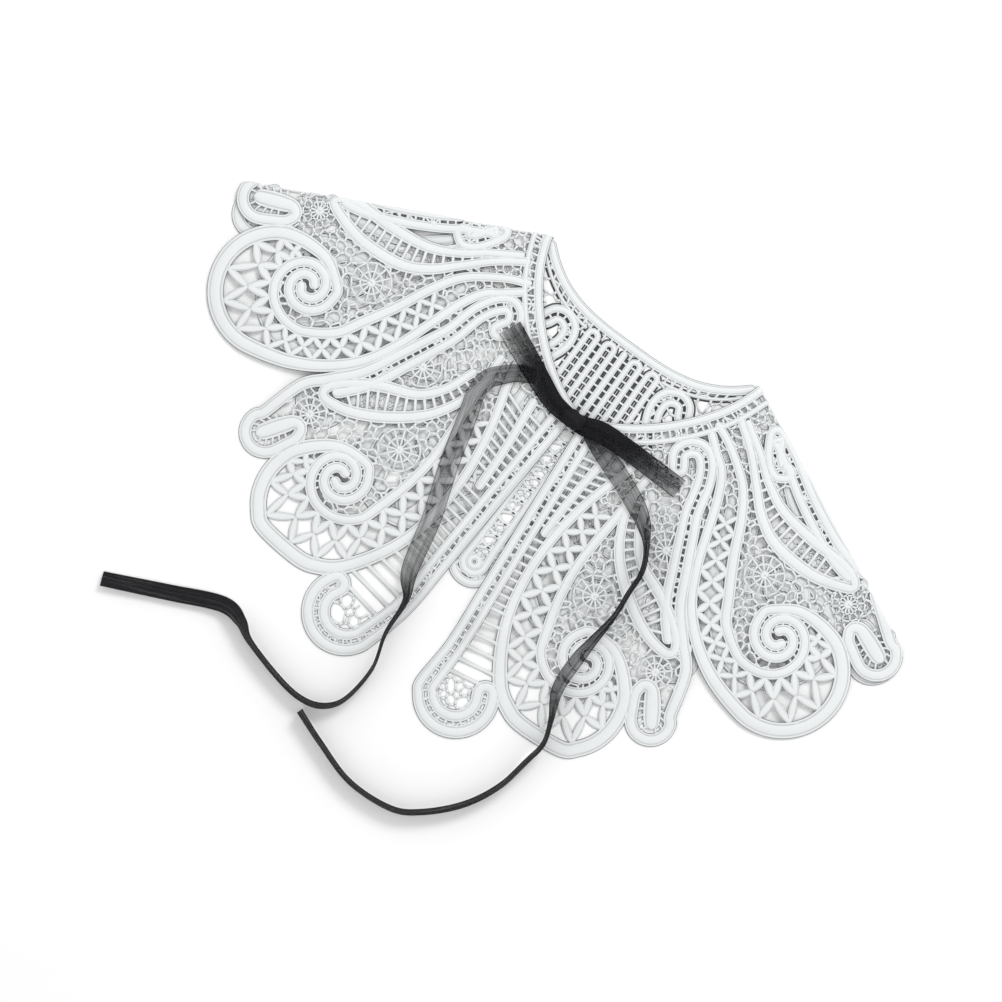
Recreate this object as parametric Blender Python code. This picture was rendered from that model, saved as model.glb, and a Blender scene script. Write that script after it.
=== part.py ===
"""A lace collar laid out on a table: its back lies face down, both fronts are folded over it at the
shoulders, and an organza ribbon is tied in a flat bow where they meet at the neck.
Metres, +Z up, the neck towards +Y, the hem towards -Y."""

import math

import bpy
import numpy as np
from mathutils.geometry import delaunay_2d_cdt

MM = 0.001

# Driving sizes of the collar
FRONT_NECK = 66 * MM  # radius of the neck edge on the fronts at the centre and at the shoulder
NECK_FLAT = 8.5 * MM  # how much nearer to the middle the neck edge lies halfway between them
BACK_NECK = 126 * MM  # radius of the neck edge on the back, as it lies
SHOULDER_X = 65 * MM  # half the width of the neck between the shoulder folds
FOLD_FALL = math.radians(25.8)  # how steeply a shoulder fold falls from the neck
DEPTH = 163 * MM  # from the neck edge to the hem

# Tapes and wall
TAPE = 4.6 * MM
BESIDE = 6.1 * MM  # from the middle of a tape to the middle of the one beside it
OUTLINE_TAPE = 7.4 * MM
BAND = 4.8 * MM  # the plain band along the neck edge
WALL = 1.0 * MM
RIDGE = 0.6 * MM  # how far a tape's middle stands above the wall
BAR = 2.2 * MM  # width of the worked bars between the gaps
SEAM_GAP = 0.3 * MM
SMALLEST_GAP = 4.0 * MM  # gaps wider than this are cut through
LEAST_ROOM = 0.7  # of that, across a gap at its narrowest
TAPE_INSET = 0.05 * MM  # how far inside a tape's edge its cloth is looked for
RIDGE_STOP = 0.5 * MM  # tapes are level with the wall this near a shoulder fold
STEP = 7 * MM  # length of a tape's straight runs
BACK_STEP = 9 * MM
MERGE = 0.45 * MM  # points of the plan nearer than this become one

# Heights of the middle of the wall
BACK_MIDDLE = WALL / 2
FRONT_MIDDLE = 2.5 * MM
FOLD_RADIUS = (FRONT_MIDDLE - BACK_MIDDLE) / 2
FOLD_LENGTH = math.pi * FOLD_RADIUS
FOLD_ROWS = 4

BACK_CENTRE = np.array([0.0, math.sqrt(BACK_NECK**2 - SHOULDER_X**2)])
SHOULDER = np.array([SHOULDER_X, 0.0])
FOLD_OUT = np.array([math.sin(FOLD_FALL), math.cos(FOLD_FALL)])


def evenly(line, step, closed=False):
    """The line with its points about step apart."""
    if closed:
        line = np.vstack([line, line[:1]])
    along = np.concatenate([[0], np.cumsum(np.linalg.norm(np.diff(line, axis=0), axis=1))])
    at = np.linspace(0, along[-1], max(2, round(along[-1] / step)) + 1)
    out = np.stack([np.interp(at, along, column) for column in line.T], axis=1)
    return out[:-1] if closed else out


def smooth(points, step, closed=False):
    """A smooth curve through the points, with its own points about step apart."""
    p = np.array(points, float)
    ends = (p[-1:], p[:2]) if closed else (2 * p[:1] - p[1:2], 2 * p[-1:] - p[-2:-1])
    p = np.vstack([ends[0], p, ends[1]])
    t = np.linspace(0, 1, 16, endpoint=False)[:, None]
    runs = [
        0.5 * (2 * b + (c - a) * t + (2 * a - 5 * b + 4 * c - d) * t**2 + (3 * b - a - 3 * c + d) * t**3)
        for a, b, c, d in zip(p, p[1:], p[2:], p[3:])
    ]
    if not closed:
        runs.append(p[-2:-1])
    return evenly(np.vstack(runs), step, closed)


def sideways(line, offset):
    """The line moved to its left by offset."""
    along = np.gradient(line, axis=0)
    along /= np.linalg.norm(along, axis=1)[:, None]
    return line + offset * np.stack([-along[:, 1], along[:, 0]], axis=1)


def inside(points, polygon):
    """Which points lie inside a closed polygon."""
    x, y = points[:, 0][:, None], points[:, 1][:, None]
    x0, y0 = polygon.T
    x1, y1 = np.roll(polygon, -1, axis=0).T
    rise = np.where(y1 == y0, 1e-12, y1 - y0)
    crossing = ((y0 > y) != (y1 > y)) & (x < (x1 - x0) * (y - y0) / rise + x0)
    return crossing.sum(axis=1) % 2 == 1


def distance_to(points, line):
    """How far points lie from a line of straight runs."""
    a, b = line[:-1], line[1:]
    run = b - a
    share = ((points[:, None] - a) * run).sum(axis=2) / np.maximum((run**2).sum(axis=1), 1e-12)
    nearest = a + np.clip(share, 0, 1)[:, :, None] * run
    return np.linalg.norm(points[:, None] - nearest, axis=2).min(axis=1)


def past_fold(points):
    """How far points lie past the right shoulder's fold line."""
    return (points - SHOULDER) @ FOLD_OUT


# How far a front's tapes sweep round towards the shoulder at the neck, in degrees, by their turn at the hem
SWEEP_AT = (5, 35, 50, 71)
SWEEP = (0, 26, 26, 18)
SWEEP_FALL = 2.5  # the power by which the sweep dies away with depth


class Panel:
    """Polar places on a panel: turn in degrees from straight down, depth from the neck edge to the hem."""

    def __init__(self, centre, neck, swept):
        self.centre, self.neck, self.swept = centre, neck, swept

    def axes(self, turn, depth):
        """A point, with the directions along the hem and towards it."""
        turn = math.radians(turn)
        outward = np.array([math.sin(turn), -math.cos(turn)])
        along = np.array([math.cos(turn), math.sin(turn)])
        return self.centre + (self.neck + depth) * outward, along, outward

    def at(self, turn, depth):
        if self.swept:
            turn += np.interp(turn, SWEEP_AT, SWEEP) * max(0, 1 - depth / DEPTH) ** SWEEP_FALL
        return self.axes(turn, depth)[0]


def around(frame, wide, deep, degrees):
    """A point of an ellipse, turned from the direction along the hem towards the hem."""
    middle, along, outward = frame
    turn = math.radians(degrees)
    return middle + wide * math.cos(turn) * along + deep * math.sin(turn) * outward


def moved(frame, along_mm, outward_mm):
    middle, along, outward = frame
    return middle + along_mm * MM * along + outward_mm * MM * outward


# Where the tapes of a repeat run: share of the way across it at the hem, against depth from the neck in mm.
# lobe_from and scroll_from say where they join the lobe and the scroll, in degrees. Bars are two sides and
# the number of their crossings.
INNER_RUNS = {
    "outline": ((0.33, 20), (0.20, 34), (0.12, 48), (0.06, 66), (0.035, 86), (0.05, 107), (0.105, 126),
                (0.185, 144), (0.265, 153.5), (0.36, 159.5)),
    "lobe_from": 88,
    "scroll": ((0.46, 30), (0.40, 44), (0.345, 57), (0.30, 73), (0.288, 91), (0.304, 110)),
    "scroll_from": 138,
    "teardrop": ((0.46, 30), (0.47, 46), (0.55, 64), (0.715, 84), (0.885, 101), (1.03, 111), (1.09, 109),
                 (1.05, 98), (0.90, 81), (0.71, 65), (0.61, 50), (0.58, 34)),
    "finger": ((0.695, 15), (0.685, 6.5), (0.80, 3.5), (0.955, 8), (1.07, 17), (1.07, 28), (1.0, 41),
               (1.01, 52), (1.035, 67), (1.065, 88), (1.135, 107), (1.17, 122)),
    "bars": (((0.165, 48), (0.105, 66), (0.08, 86), (0.095, 107), (0.15, 124)),
             ((0.33, 50), (0.26, 70), (0.245, 91), (0.258, 107), (0.315, 122)), 6),
    "teardrop_bars": (((0.60, 66), (0.745, 84), (0.90, 99), (1.02, 107)),
                      ((0.66, 64), (0.84, 80), (0.99, 94), (1.055, 103)), 4),
}  # fmt: skip
OUTER_RUNS = {
    "outline": ((0.10, 14), (0.17, 24), (0.16, 36), (0.115, 52), (0.095, 68), (0.115, 88), (0.185, 108),
                (0.27, 127)),
    "lobe_from": 140,
    "scroll": ((0.27, 14), (0.39, 34), (0.40, 50), (0.365, 68), (0.375, 87)),
    "scroll_from": 156,
    "teardrop": ((0.53, 22), (0.545, 38), (0.575, 54), (0.67, 70), (0.85, 91), (1.0, 106), (1.065, 110),
                 (1.07, 99), (0.94, 78), (0.78, 57), (0.69, 40), (0.68, 26)),
    "finger": ((0.88, 44), (0.78, 40), (0.745, 33), (0.80, 26), (0.93, 21), (1.05, 25), (1.07, 40),
               (1.06, 62), (1.09, 90), (1.14, 114)),
    "bars": (((0.165, 52), (0.145, 68), (0.165, 88), (0.225, 106)),
             ((0.35, 52), (0.32, 68), (0.33, 87), (0.375, 104)), 5),
    "teardrop_bars": (((0.63, 56), (0.73, 71), (0.88, 89), (0.99, 101)),
                      ((0.72, 54), (0.87, 73), (1.0, 91), (1.03, 101)), 4),
}  # fmt: skip
BACK_RUNS = {
    "outline": ((0.36, 16), (0.30, 34), (0.21, 58), (0.165, 86), (0.17, 112)),
    "lobe_from": 195,
    "scroll": ((0.50, 14), (0.45, 34), (0.41, 56), (0.375, 82)),
    "scroll_from": 186,
    "teardrop": ((0.60, 13), (0.60, 34), (0.62, 56), (0.72, 78), (0.90, 96), (1.06, 110), (1.13, 106),
                 (1.08, 92), (0.92, 72), (0.83, 52), (0.80, 34), (0.77, 15)),
    "finger": ((0.93, 33), (0.90, 21), (0.97, 13), (1.07, 17), (1.10, 32), (1.06, 58), (1.09, 90),
               (1.14, 114)),
    "bars": (((0.34, 40), (0.25, 62), (0.215, 84), (0.225, 104)),
             ((0.43, 40), (0.385, 62), (0.35, 84), (0.33, 100)), 5),
    "teardrop_bars": (((0.66, 66), (0.77, 81), (0.93, 95), (1.03, 104)),
                      ((0.87, 66), (0.945, 79), (1.03, 90), (1.08, 101)), 4),
}  # fmt: skip

SCROLL_RADIUS = 17.5 * MM
SCROLL_PITCH = 12.6 * MM  # how much closer to its middle a scroll's tape comes in each turn
SCROLL_TURN = 380  # degrees from a tape's first meeting with the scroll to its end
SCROLL_RISE = 17  # mm from a lobe's middle to its scroll's
SCROLL_RIM = 2.2 * MM  # how far outside a scroll's tape the gaps round it start
CRESCENT_CELLS = 6  # crossings of the bars between a lobe's outline and its scroll
LOBE_SHOULDER = (0.55, -0.88)  # where a lobe's outline turns in to the scroll, as shares of its half sizes
HEM_FROM = 100  # depth in mm from which the panel's edge follows the outline of a repeat
FINGER_DEPTH = 146 * MM
FINGER_RADIUS = 11.2 * MM
FINGER_HOOK = ((-6.5, -12), (0, -16), (4, -8), (2.5, 1))  # a tape's end in a finger: mm along and outward
CENTRE_FINGER_DEPTH = 158 * MM
CENTRE_FINGER_RADIUS = 19.5 * MM
CENTRE_EDGE = (4, 35, 70, 105, 135)  # depths in mm of the tape down a front's centre edge


class Repeat:
    """One repeat of the lace, from a finger's middle to the next one's, with a scroll lobe between them."""

    def __init__(self, panel, start, end, lobe, runs):
        share, depth, self.half_width, self.half_depth = lobe
        self.panel, self.start, self.end, self.runs = panel, start, end, runs
        self.lobe = panel.axes(start + (end - start) * share, depth)
        self.scroll = (moved(self.lobe, -1, -SCROLL_RISE), *self.lobe[1:])
        self.tip = panel.axes(end, FINGER_DEPTH)

    def at(self, share, depth_mm):
        return self.panel.at(self.start + (self.end - self.start) * share, depth_mm * MM)

    def run(self, name):
        return [self.at(*place) for place in self.runs[name]]

    def lobe_point(self, degrees, inset=0.0):
        return around(self.lobe, self.half_width - inset, self.half_depth - inset, degrees)

    def scroll_point(self, degrees, first):
        radius = SCROLL_RADIUS - SCROLL_PITCH * (first - degrees) / 360
        return around(self.scroll, radius, radius, degrees)

    def outline(self, step):
        """The tape from the neck round the lobe, which then curls in as one arm of its scroll."""
        points = self.run("outline")
        points += [self.lobe_point(turn) for turn in range(self.runs["lobe_from"], -41, -19)]
        wide, deep = LOBE_SHOULDER
        points += [moved(self.lobe, wide * self.half_width / MM, deep * self.half_depth / MM)]
        points += [self.scroll_point(turn, -90) for turn in range(-92, -90 - SCROLL_TURN, -32)]
        return smooth(points, step)

    def scroll_tape(self, step):
        """The tape from the neck that passes below the scroll and curls in as its other arm."""
        points = self.run("scroll")
        turns = range(self.runs["scroll_from"], 90 - SCROLL_TURN, -32)
        points += [self.scroll_point(turn, 90) for turn in turns]
        return smooth(points, step)

    def teardrop(self, step):
        return smooth(self.run("teardrop"), step)

    def finger(self, step):
        """The tape from a hook at the neck to the hem, where it turns round a finger into its inside."""
        points = self.run("finger")
        points += [around(self.tip, FINGER_RADIUS, FINGER_RADIUS, turn) for turn in range(-15, 205, 35)]
        points += [moved(self.tip, *place) for place in FINGER_HOOK]
        return smooth(points, step)


def centre_finger(panel, side_turn, tip_turn, inset, step):
    """The tape down a front's centre edge and round its wide first finger."""
    tip = panel.axes(tip_turn, CENTRE_FINGER_DEPTH)
    radius = CENTRE_FINGER_RADIUS - inset
    shift = math.degrees(inset / (panel.neck + 0.5 * DEPTH))
    points = [panel.axes(side_turn + shift, depth * MM)[0] for depth in CENTRE_EDGE]
    points += [around(tip, radius, radius, turn) for turn in range(175, -20, -30)]
    return smooth(points, step)


def drawn_in(corners, bar):
    """A gap between bars: its corners drawn in by half a bar, or nothing where that leaves too little."""
    corners = np.array(corners)
    middle = corners.mean(axis=0)
    edges = np.roll(corners, -1, axis=0) - corners
    normals = np.stack([-edges[:, 1], edges[:, 0]], axis=1) / np.linalg.norm(edges, axis=1)[:, None]
    near = np.abs(((middle - corners) * normals).sum(axis=1)).min()
    room = near - bar / 2
    return middle + (corners - middle) * room / near if 2 * room > LEAST_ROOM * SMALLEST_GAP else None


def lattice_gaps(one, other, cells, bar=BAR):
    """The gaps between crossed bars on two lines: diamonds between crossings, triangles at the sides."""
    one, other = (evenly(line, line_length(line) / cells) for line in (one, other))
    crossings = (one[:-1] + one[1:] + other[:-1] + other[1:]) / 4
    gaps = [[one[i], crossings[i], other[i], crossings[i - 1]] for i in range(1, cells)]
    for line in (one, other):
        gaps += [[line[i], line[i + 1], crossings[i]] for i in range(cells)]
    gaps = [drawn_in(gap, bar) for gap in gaps]
    return [gap for gap in gaps if gap is not None]


def line_length(line):
    return np.linalg.norm(np.diff(line, axis=0), axis=1).sum()


def crescent(repeat, inset_out, inset_in):
    """The lines at both sides of the open crescent between a lobe's outline and its scroll."""
    turns = range(178, -22, -10)
    outer = [repeat.lobe_point(turn, inset_out) for turn in turns]
    radius = SCROLL_RADIUS + inset_in
    inner = [around(repeat.scroll, radius, radius, turn) for turn in turns]
    return smooth(outer, MM), smooth(inner, MM)


def mirrored(points):
    return points * np.array([-1.0, 1.0])


class Plan:
    """The flat plan of a panel: its edge, its tapes with their widths, and the gaps cut through it."""

    def __init__(self):
        self.edge, self.tapes, self.gaps, self.rows = None, [], [], []

    def add_repeat(self, repeat, step, first_depth=0, flip=False):
        turned = mirrored if flip else np.array
        plain = ((tape, TAPE) for tape in (repeat.scroll_tape, repeat.teardrop, repeat.finger))
        for tape, width in ((repeat.outline, OUTLINE_TAPE), *plain):
            line = turned(tape(step))
            depth = np.linalg.norm(line - repeat.panel.centre, axis=1) - repeat.panel.neck
            line = line[depth > first_depth * MM]
            line = line[past_fold(turned(line)) < TAPE]
            self.tapes.append((line, width))
        gaps = lattice_gaps(*crescent(repeat, OUTLINE_TAPE / 2, TAPE / 2 + SCROLL_RIM), CRESCENT_CELLS)
        for near, far, cells in (repeat.runs["bars"], repeat.runs["teardrop_bars"]):
            sides = (smooth([repeat.at(*place) for place in run], MM) for run in (near, far))
            gaps += lattice_gaps(*sides, cells)
        self.gaps += [turned(gap) for gap in gaps if past_fold(gap).max() < -TAPE]

    def hem_of(self, repeat):
        hem = [repeat.at(share, depth) for share, depth in repeat.runs["outline"] if depth > HEM_FROM]
        hem += [repeat.lobe_point(turn) for turn in range(repeat.runs["lobe_from"], -41, -19)]
        finger = range(180, -16, -32)
        return hem + [around(repeat.tip, FINGER_RADIUS, FINGER_RADIUS, turn) for turn in finger]


# A front's hem, in degrees from straight down: the middle of its first, second and third fingers
RIGHT_FINGERS = (8.4, 35.3, 68.7)
LEFT_FINGERS = (10.0, 37.0, 70.2)
INNER_LOBE = (0.558, 135.6 * MM, 28 * MM, 30.5 * MM)  # share across, depth, half width, half depth
OUTER_LOBE = (0.605, 131.8 * MM, 31 * MM, 31 * MM)
BACK_LOBE = (0.5, 124 * MM, 29 * MM, 30 * MM)
BACK_FINGERS = (0, 24.5, 46.4)
BACK_TAPES_FROM = 48  # depth in mm where the back's tapes start, below its fringe along the neck
NECK_DROP = 20 * MM
NECK_ROUNDNESS = 3.2
FRINGE = 5  # upright tapes along the back's neck on each side of its middle one
FRINGE_PITCH = 6.2 * MM
FRINGE_LEAN = 1.25  # how much further apart they are at their lower ends
FRINGE_DROP = 8 * MM
FRINGE_LENGTH = 34 * MM
MIDDLE_FINGER_RISE = 4 * MM
SHOULDER_SPARE = 6 * MM  # how far the back's edge is drawn past its shoulders before it is cut along them
FOLD_LINE = (-15 * MM, 190 * MM)  # where a drawn fold or seam line starts and ends, from the neck's end


def plan_front(fingers, edge_turn):
    """The plan of a front, drawn as the right one, running on past its shoulder fold for the roll."""
    plan = Plan()
    panel = Panel(np.zeros(2), FRONT_NECK, True)
    repeats = [
        Repeat(panel, *fingers[:2], INNER_LOBE, INNER_RUNS),
        Repeat(panel, *fingers[1:], OUTER_LOBE, OUTER_RUNS),
    ]
    for repeat in repeats:
        plan.add_repeat(repeat, STEP)
    outer = centre_finger(panel, edge_turn, fingers[0], 0.0, STEP)
    plan.tapes += [(outer, TAPE), (centre_finger(panel, edge_turn, fingers[0], BESIDE, STEP), TAPE)]
    neck = []
    for turn in np.arange(edge_turn, 96, 6):
        neck.append(panel.axes(turn, BAND / 2 - NECK_FLAT * max(0, math.sin(math.radians(2 * turn))))[0])
    plan.tapes.append((np.array(neck), BAND))
    hem = list(outer) + plan.hem_of(repeats[0]) + plan.hem_of(repeats[1])
    past = 3 * FOLD_LENGTH * FOLD_OUT
    plan.edge = np.array(hem + [hem[-1] + past, SHOULDER + past] + neck[::-1])
    along = np.array([FOLD_OUT[1], -FOLD_OUT[0]])
    ends = [SHOULDER + end * along for end in FOLD_LINE]
    for row in range(FOLD_ROWS + 1):
        rise = row / FOLD_ROWS * FOLD_LENGTH * FOLD_OUT
        plan.rows.append(evenly(np.array([end + rise for end in ends]), STEP))
    plan.limit = FOLD_LENGTH
    return plan


def neck_height(x):
    return -NECK_DROP * (1 - np.abs(x / SHOULDER_X) ** NECK_ROUNDNESS)


def plan_back():
    """The plan of the back, both of whose shoulder edges stop short of the fronts' rolls."""
    plan = Plan()
    panel = Panel(BACK_CENTRE, BACK_NECK, False)
    repeats = [Repeat(panel, *BACK_FINGERS[i : i + 2], BACK_LOBE, BACK_RUNS) for i in (0, 1)]
    for repeat in repeats:
        plan.add_repeat(repeat, BACK_STEP, BACK_TAPES_FROM)
        plan.add_repeat(repeat, BACK_STEP, BACK_TAPES_FROM, flip=True)
    middle_tip = panel.axes(0, FINGER_DEPTH - MIDDLE_FINGER_RISE)
    tip = [around(middle_tip, FINGER_RADIUS, FINGER_RADIUS, turn) for turn in range(90, -16, -26)]
    plan.tapes.append((np.array([mirrored(point) for point in tip[:0:-1]] + tip), TAPE))
    half = tip + plan.hem_of(repeats[0]) + plan.hem_of(repeats[1])
    x = np.linspace(-SHOULDER_X - SHOULDER_SPARE, SHOULDER_X + SHOULDER_SPARE, 25)
    neck = np.stack([x, neck_height(x) - BAND / 2], axis=1)
    plan.tapes.append((neck, BAND))
    half.append(half[-1] + SHOULDER_SPARE)
    plan.edge = np.array([mirrored(point) for point in half[::-1]] + half[1:] + list(neck[::-1]))
    for place in range(-FRINGE, FRINGE + 1):
        x = place * FRINGE_PITCH
        top = neck_height(np.array(x)) - FRINGE_DROP
        tape = np.array([[x, top], [FRINGE_LEAN * x, top - FRINGE_LENGTH]])
        plan.tapes.append((evenly(tape, STEP), TAPE))
    plan.limit = -SEAM_GAP
    return plan


def kept(points, plan, both_sides):
    """Which points lie on a panel's cloth."""
    on_tape = np.zeros(len(points), bool)
    for line, width in plan.tapes:
        on_tape |= distance_to(points, line) < width / 2 - TAPE_INSET
    in_gap = np.zeros(len(points), bool)
    for gap in plan.gaps:
        in_gap |= inside(points, gap)
    past = past_fold(points)
    if both_sides:
        past = np.maximum(past, past_fold(mirrored(points)))
    return (on_tape | (inside(points, plan.edge) & ~in_gap)) & (past < plan.limit)


def ridge_at(points, plan):
    """How far the tapes stand above the wall at points."""
    height = np.zeros(len(points))
    for line, width in plan.tapes:
        height = np.maximum(height, RIDGE * (1 - distance_to(points, line) / (width / 2)))
    return height * (past_fold(points) < -RIDGE_STOP) * (past_fold(mirrored(points)) < -RIDGE_STOP)


def triangulate(points, runs, merge):
    """Triangles over points in mm, with the runs kept as edges."""
    flat, _, faces, origins, _, _ = delaunay_2d_cdt(points.tolist(), runs, [], 0, merge, True)
    return np.array([tuple(p) for p in flat]), np.array([f for f in faces if len(f) == 3]), origins


def rim_of(faces):
    """The edges that only one triangle has, running the way it does."""
    edges = np.concatenate([faces[:, [0, 1]], faces[:, [1, 2]], faces[:, [2, 0]]])
    present = {tuple(edge) for edge in edges}
    return np.array([edge for edge in present if edge[::-1] not in present])


def without_pinches(faces, keep):
    """Fills the gaps that touch another gap or the edge at one corner only."""
    while True:
        rim = rim_of(faces[keep])
        corners, counts = np.unique(rim[:, 0], return_counts=True)
        pinched = corners[counts > 1]
        if not len(pinched):
            return keep
        keep = keep | np.isin(faces, pinched).any(axis=1)


def plain_within(flat, rim):
    """Triangles over the cloth that use no points but those of its rim."""
    corners = np.unique(rim)
    number = {old: new for new, old in enumerate(corners)}
    runs = [(number[a], number[b]) for a, b in rim]
    _, faces, origins = triangulate(flat[corners] / MM, runs, 1e-6)
    faces = np.array([corners[origin[0]] for origin in origins])[faces]
    owner = {(face[i], face[i - 2]): index for index, face in enumerate(faces) for i in range(3)}
    rim = {tuple(edge) for edge in rim}
    cloth, waiting = set(), [owner[edge] for edge in rim]
    while waiting:
        index = waiting.pop()
        if index in cloth:
            continue
        cloth.add(index)
        face = faces[index]
        for i in range(3):
            edge = (face[i], face[i - 2])
            if edge not in rim and edge[::-1] in owner:
                waiting.append(owner[edge[::-1]])
    return faces[sorted(cloth)]


def cloth_mesh(plan, both_sides):
    """The top and bottom triangles of a panel and the rim they share, flat."""
    points, runs = [], []

    def add(line, closed=False):
        first = len(points)
        points.extend(line / MM)
        runs.extend((first + i, first + i + 1) for i in range(len(line) - 1))
        if closed:
            runs.append((len(points) - 1, first))

    for line, width in plan.tapes:
        add(line)
        for side in (-1, 1):
            add(sideways(line, side * width / 2))
    for gap in plan.gaps:
        add(gap, closed=True)
    add(plan.edge, closed=True)
    for row in plan.rows:
        add(row)
    if both_sides:
        for turned in (np.array, mirrored):
            along = np.array([FOLD_OUT[1], -FOLD_OUT[0]])
            seam = SHOULDER - SEAM_GAP * FOLD_OUT + np.outer(FOLD_LINE, along)
            add(evenly(turned(seam), STEP))
    flat, faces, _ = triangulate(np.array(points), runs, MERGE / MM)
    flat *= MM
    middles = flat[faces].mean(axis=1)
    keep = without_pinches(faces, kept(middles, plan, both_sides))
    faces = faces[keep]
    rim = rim_of(faces)
    return flat, faces, rim


# Soft folds of the fronts: turn at the neck and at the hem, height and half width in mm, depths they span
FOLD_TABLE_RIGHT = (
    (8.5, 6.5, 3.0, 9, 10, 150),
    (21, 12.5, 2.2, 12, 8, 120),
    (34, 22, 1.8, 22, 30, 163),
    (52, 37, 1.6, 22, 20, 150),
    (68, 52, 2.0, 26, 30, 175),
)
FOLD_TABLE_LEFT = (
    (7.0, 6.0, 4.2, 10, 10, 130),
    (24, 15, 1.6, 13, 8, 110),
    (36, 25, 1.8, 22, 30, 163),
    (56, 40, 2.0, 22, 20, 150),
    (70, 56, 1.6, 24, 30, 175),
)
BACK_REACH = BACK_NECK + 162 * MM  # from the back's centre to the ends of its fingers
FALL = 28 * MM  # how far past the back's hem a front comes down to the table
NEAR_FOLD = 24 * MM  # the cloth levels out this near a shoulder fold
WAVE_RISE, WAVE_END = 30, 40  # mm of depth over which a soft fold rises and dies away
FOLD_SWEEP = 1.5  # the power by which a soft fold turns from its place at the neck to that at the hem

KNOT = np.array([-1.7 * MM, -70.3 * MM])
KNOT_RADII = np.array([7.0, 6.2, 4.2]) * MM
KNOT_HEIGHT = 8.0 * MM
KNOT_RINGS, KNOT_SIDES = 6, 12
RIBBON_WALL = 1.0 * MM
LOOP_WALL = 2.0 * MM  # a loop's two layers together
RIBBON_STEP = 5 * MM
CLEAR = 0.4 * MM
BESIDE_CLOTH = 4 * MM  # the ribbon is already lifted this far outside a panel's edge


def eased(share):
    share = np.clip(share, 0, 1)
    return share * share * (3 - 2 * share)


def bump(share):
    return 0.5 + 0.5 * np.cos(math.pi * np.clip(np.abs(share), 0, 1))


def front_height(points, folds):
    """The height of the middle of a front's wall, drawn as the right one."""
    beyond = np.linalg.norm(points - BACK_CENTRE, axis=1) - BACK_REACH
    height = FRONT_MIDDLE + (WALL / 2 - FRONT_MIDDLE) * eased(beyond / FALL)
    reach = np.linalg.norm(points, axis=1)
    turn = np.degrees(np.arctan2(points[:, 0], -points[:, 1]))
    depth = (reach - FRONT_NECK) / MM
    level = eased(-past_fold(points) / NEAR_FOLD)
    for at_neck, at_hem, rise, half_width, start, end in folds:
        line = at_hem + (at_neck - at_hem) * np.clip(1 - depth * MM / DEPTH, 0, 1) ** FOLD_SWEEP
        off = np.radians(turn - line) * reach / MM
        ends = eased((depth - start) / WAVE_RISE) * eased((end - depth) / WAVE_END)
        height += rise * MM * bump(off / half_width) * ends * level
    return height


def rolled(points, heights, lifts):
    """Places of a front's points, lifted above the wall's middle and wrapped round the shoulder fold."""
    past = past_fold(points)
    turn = np.clip(past / FOLD_RADIUS, 0, math.pi)
    foot = points - np.maximum(past, 0)[:, None] * FOLD_OUT
    out = (FOLD_RADIUS + lifts) * np.sin(turn)
    axis = heights - FOLD_RADIUS
    z = np.where(past > 0, axis + (FOLD_RADIUS + lifts) * np.cos(turn), heights + lifts)
    return np.column_stack([foot + np.where(past > 0, out, 0)[:, None] * FOLD_OUT, z])


def add_object(name, vertices, faces, material):
    mesh = bpy.data.meshes.new(name)
    mesh.from_pydata([tuple(v) for v in vertices], [], [tuple(int(i) for i in face) for face in faces])
    mesh.materials.append(material)
    mesh.validate()
    mesh.update()
    obj = bpy.data.objects.new(name, mesh)
    bpy.context.collection.objects.link(obj)
    return obj


def walled(name, top, top_faces, bottom, bottom_faces, rim, material):
    """A closed body from its top, its bottom and the rim they share, numbered alike on both."""
    count = len(top)
    faces = [tuple(face) for face in top_faces]
    faces += [tuple(face[::-1] + count) for face in bottom_faces]
    faces += [(b, a, a + count, b + count) for a, b in rim]
    vertices = np.vstack([top, bottom])
    used = np.unique([index for face in faces for index in face])
    number = {old: new for new, old in enumerate(used)}
    faces = [tuple(number[index] for index in face) for face in faces]
    return add_object(name, vertices[used], faces, material)


def front(name, fingers, edge_turn, folds, left, material):
    plan = plan_front(fingers, edge_turn)
    flat, faces, rim = cloth_mesh(plan, False)
    heights = front_height(flat, folds)
    top = rolled(flat, heights, WALL / 2 + ridge_at(flat, plan))
    bottom = rolled(flat, heights, np.full(len(flat), -WALL / 2))
    if left:
        top[:, 0], bottom[:, 0] = -top[:, 0], -bottom[:, 0]
        faces, rim = faces[:, ::-1], rim[:, ::-1]
    return walled(name, top, faces, bottom, faces, rim, material), plan


def back(name, material):
    plan = plan_back()
    flat, faces, rim = cloth_mesh(plan, True)
    top = np.column_stack([flat, WALL + ridge_at(flat, plan)])
    bottom = np.column_stack([flat, np.zeros(len(flat))])
    under_faces = plain_within(flat, rim)
    return walled(name, top, faces, bottom, under_faces, rim, material), plan


def strip(name, path, widths, twists, wall, material):
    """A ribbon along a path of middle points, its width lying level or turned up on edge by the twists."""
    along = np.gradient(path, axis=0)
    along /= np.linalg.norm(along, axis=1)[:, None]
    side = np.cross([0.0, 0.0, 1.0], along)
    side /= np.linalg.norm(side, axis=1)[:, None]
    face = np.cross(along, side)
    tilt = np.radians(twists)[:, None]
    across = np.cos(tilt) * side + np.sin(tilt) * face
    normal = np.cross(along, across)
    half = widths[:, None] / 2
    corners = [
        path + i * half * across + j * wall / 2 * normal for i, j in ((-1, -1), (1, -1), (1, 1), (-1, 1))
    ]
    vertices = np.stack(corners, axis=1).reshape(-1, 3)
    faces = []
    for row in range(len(path) - 1):
        a, b = 4 * row, 4 * row + 4
        faces += [(a + i, a + (i + 1) % 4, b + (i + 1) % 4, b + i) for i in range(4)]
    last = 4 * (len(path) - 1)
    faces += [(3, 2, 1, 0), (last, last + 1, last + 2, last + 3)]
    return add_object(name, vertices, faces, material)


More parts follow.
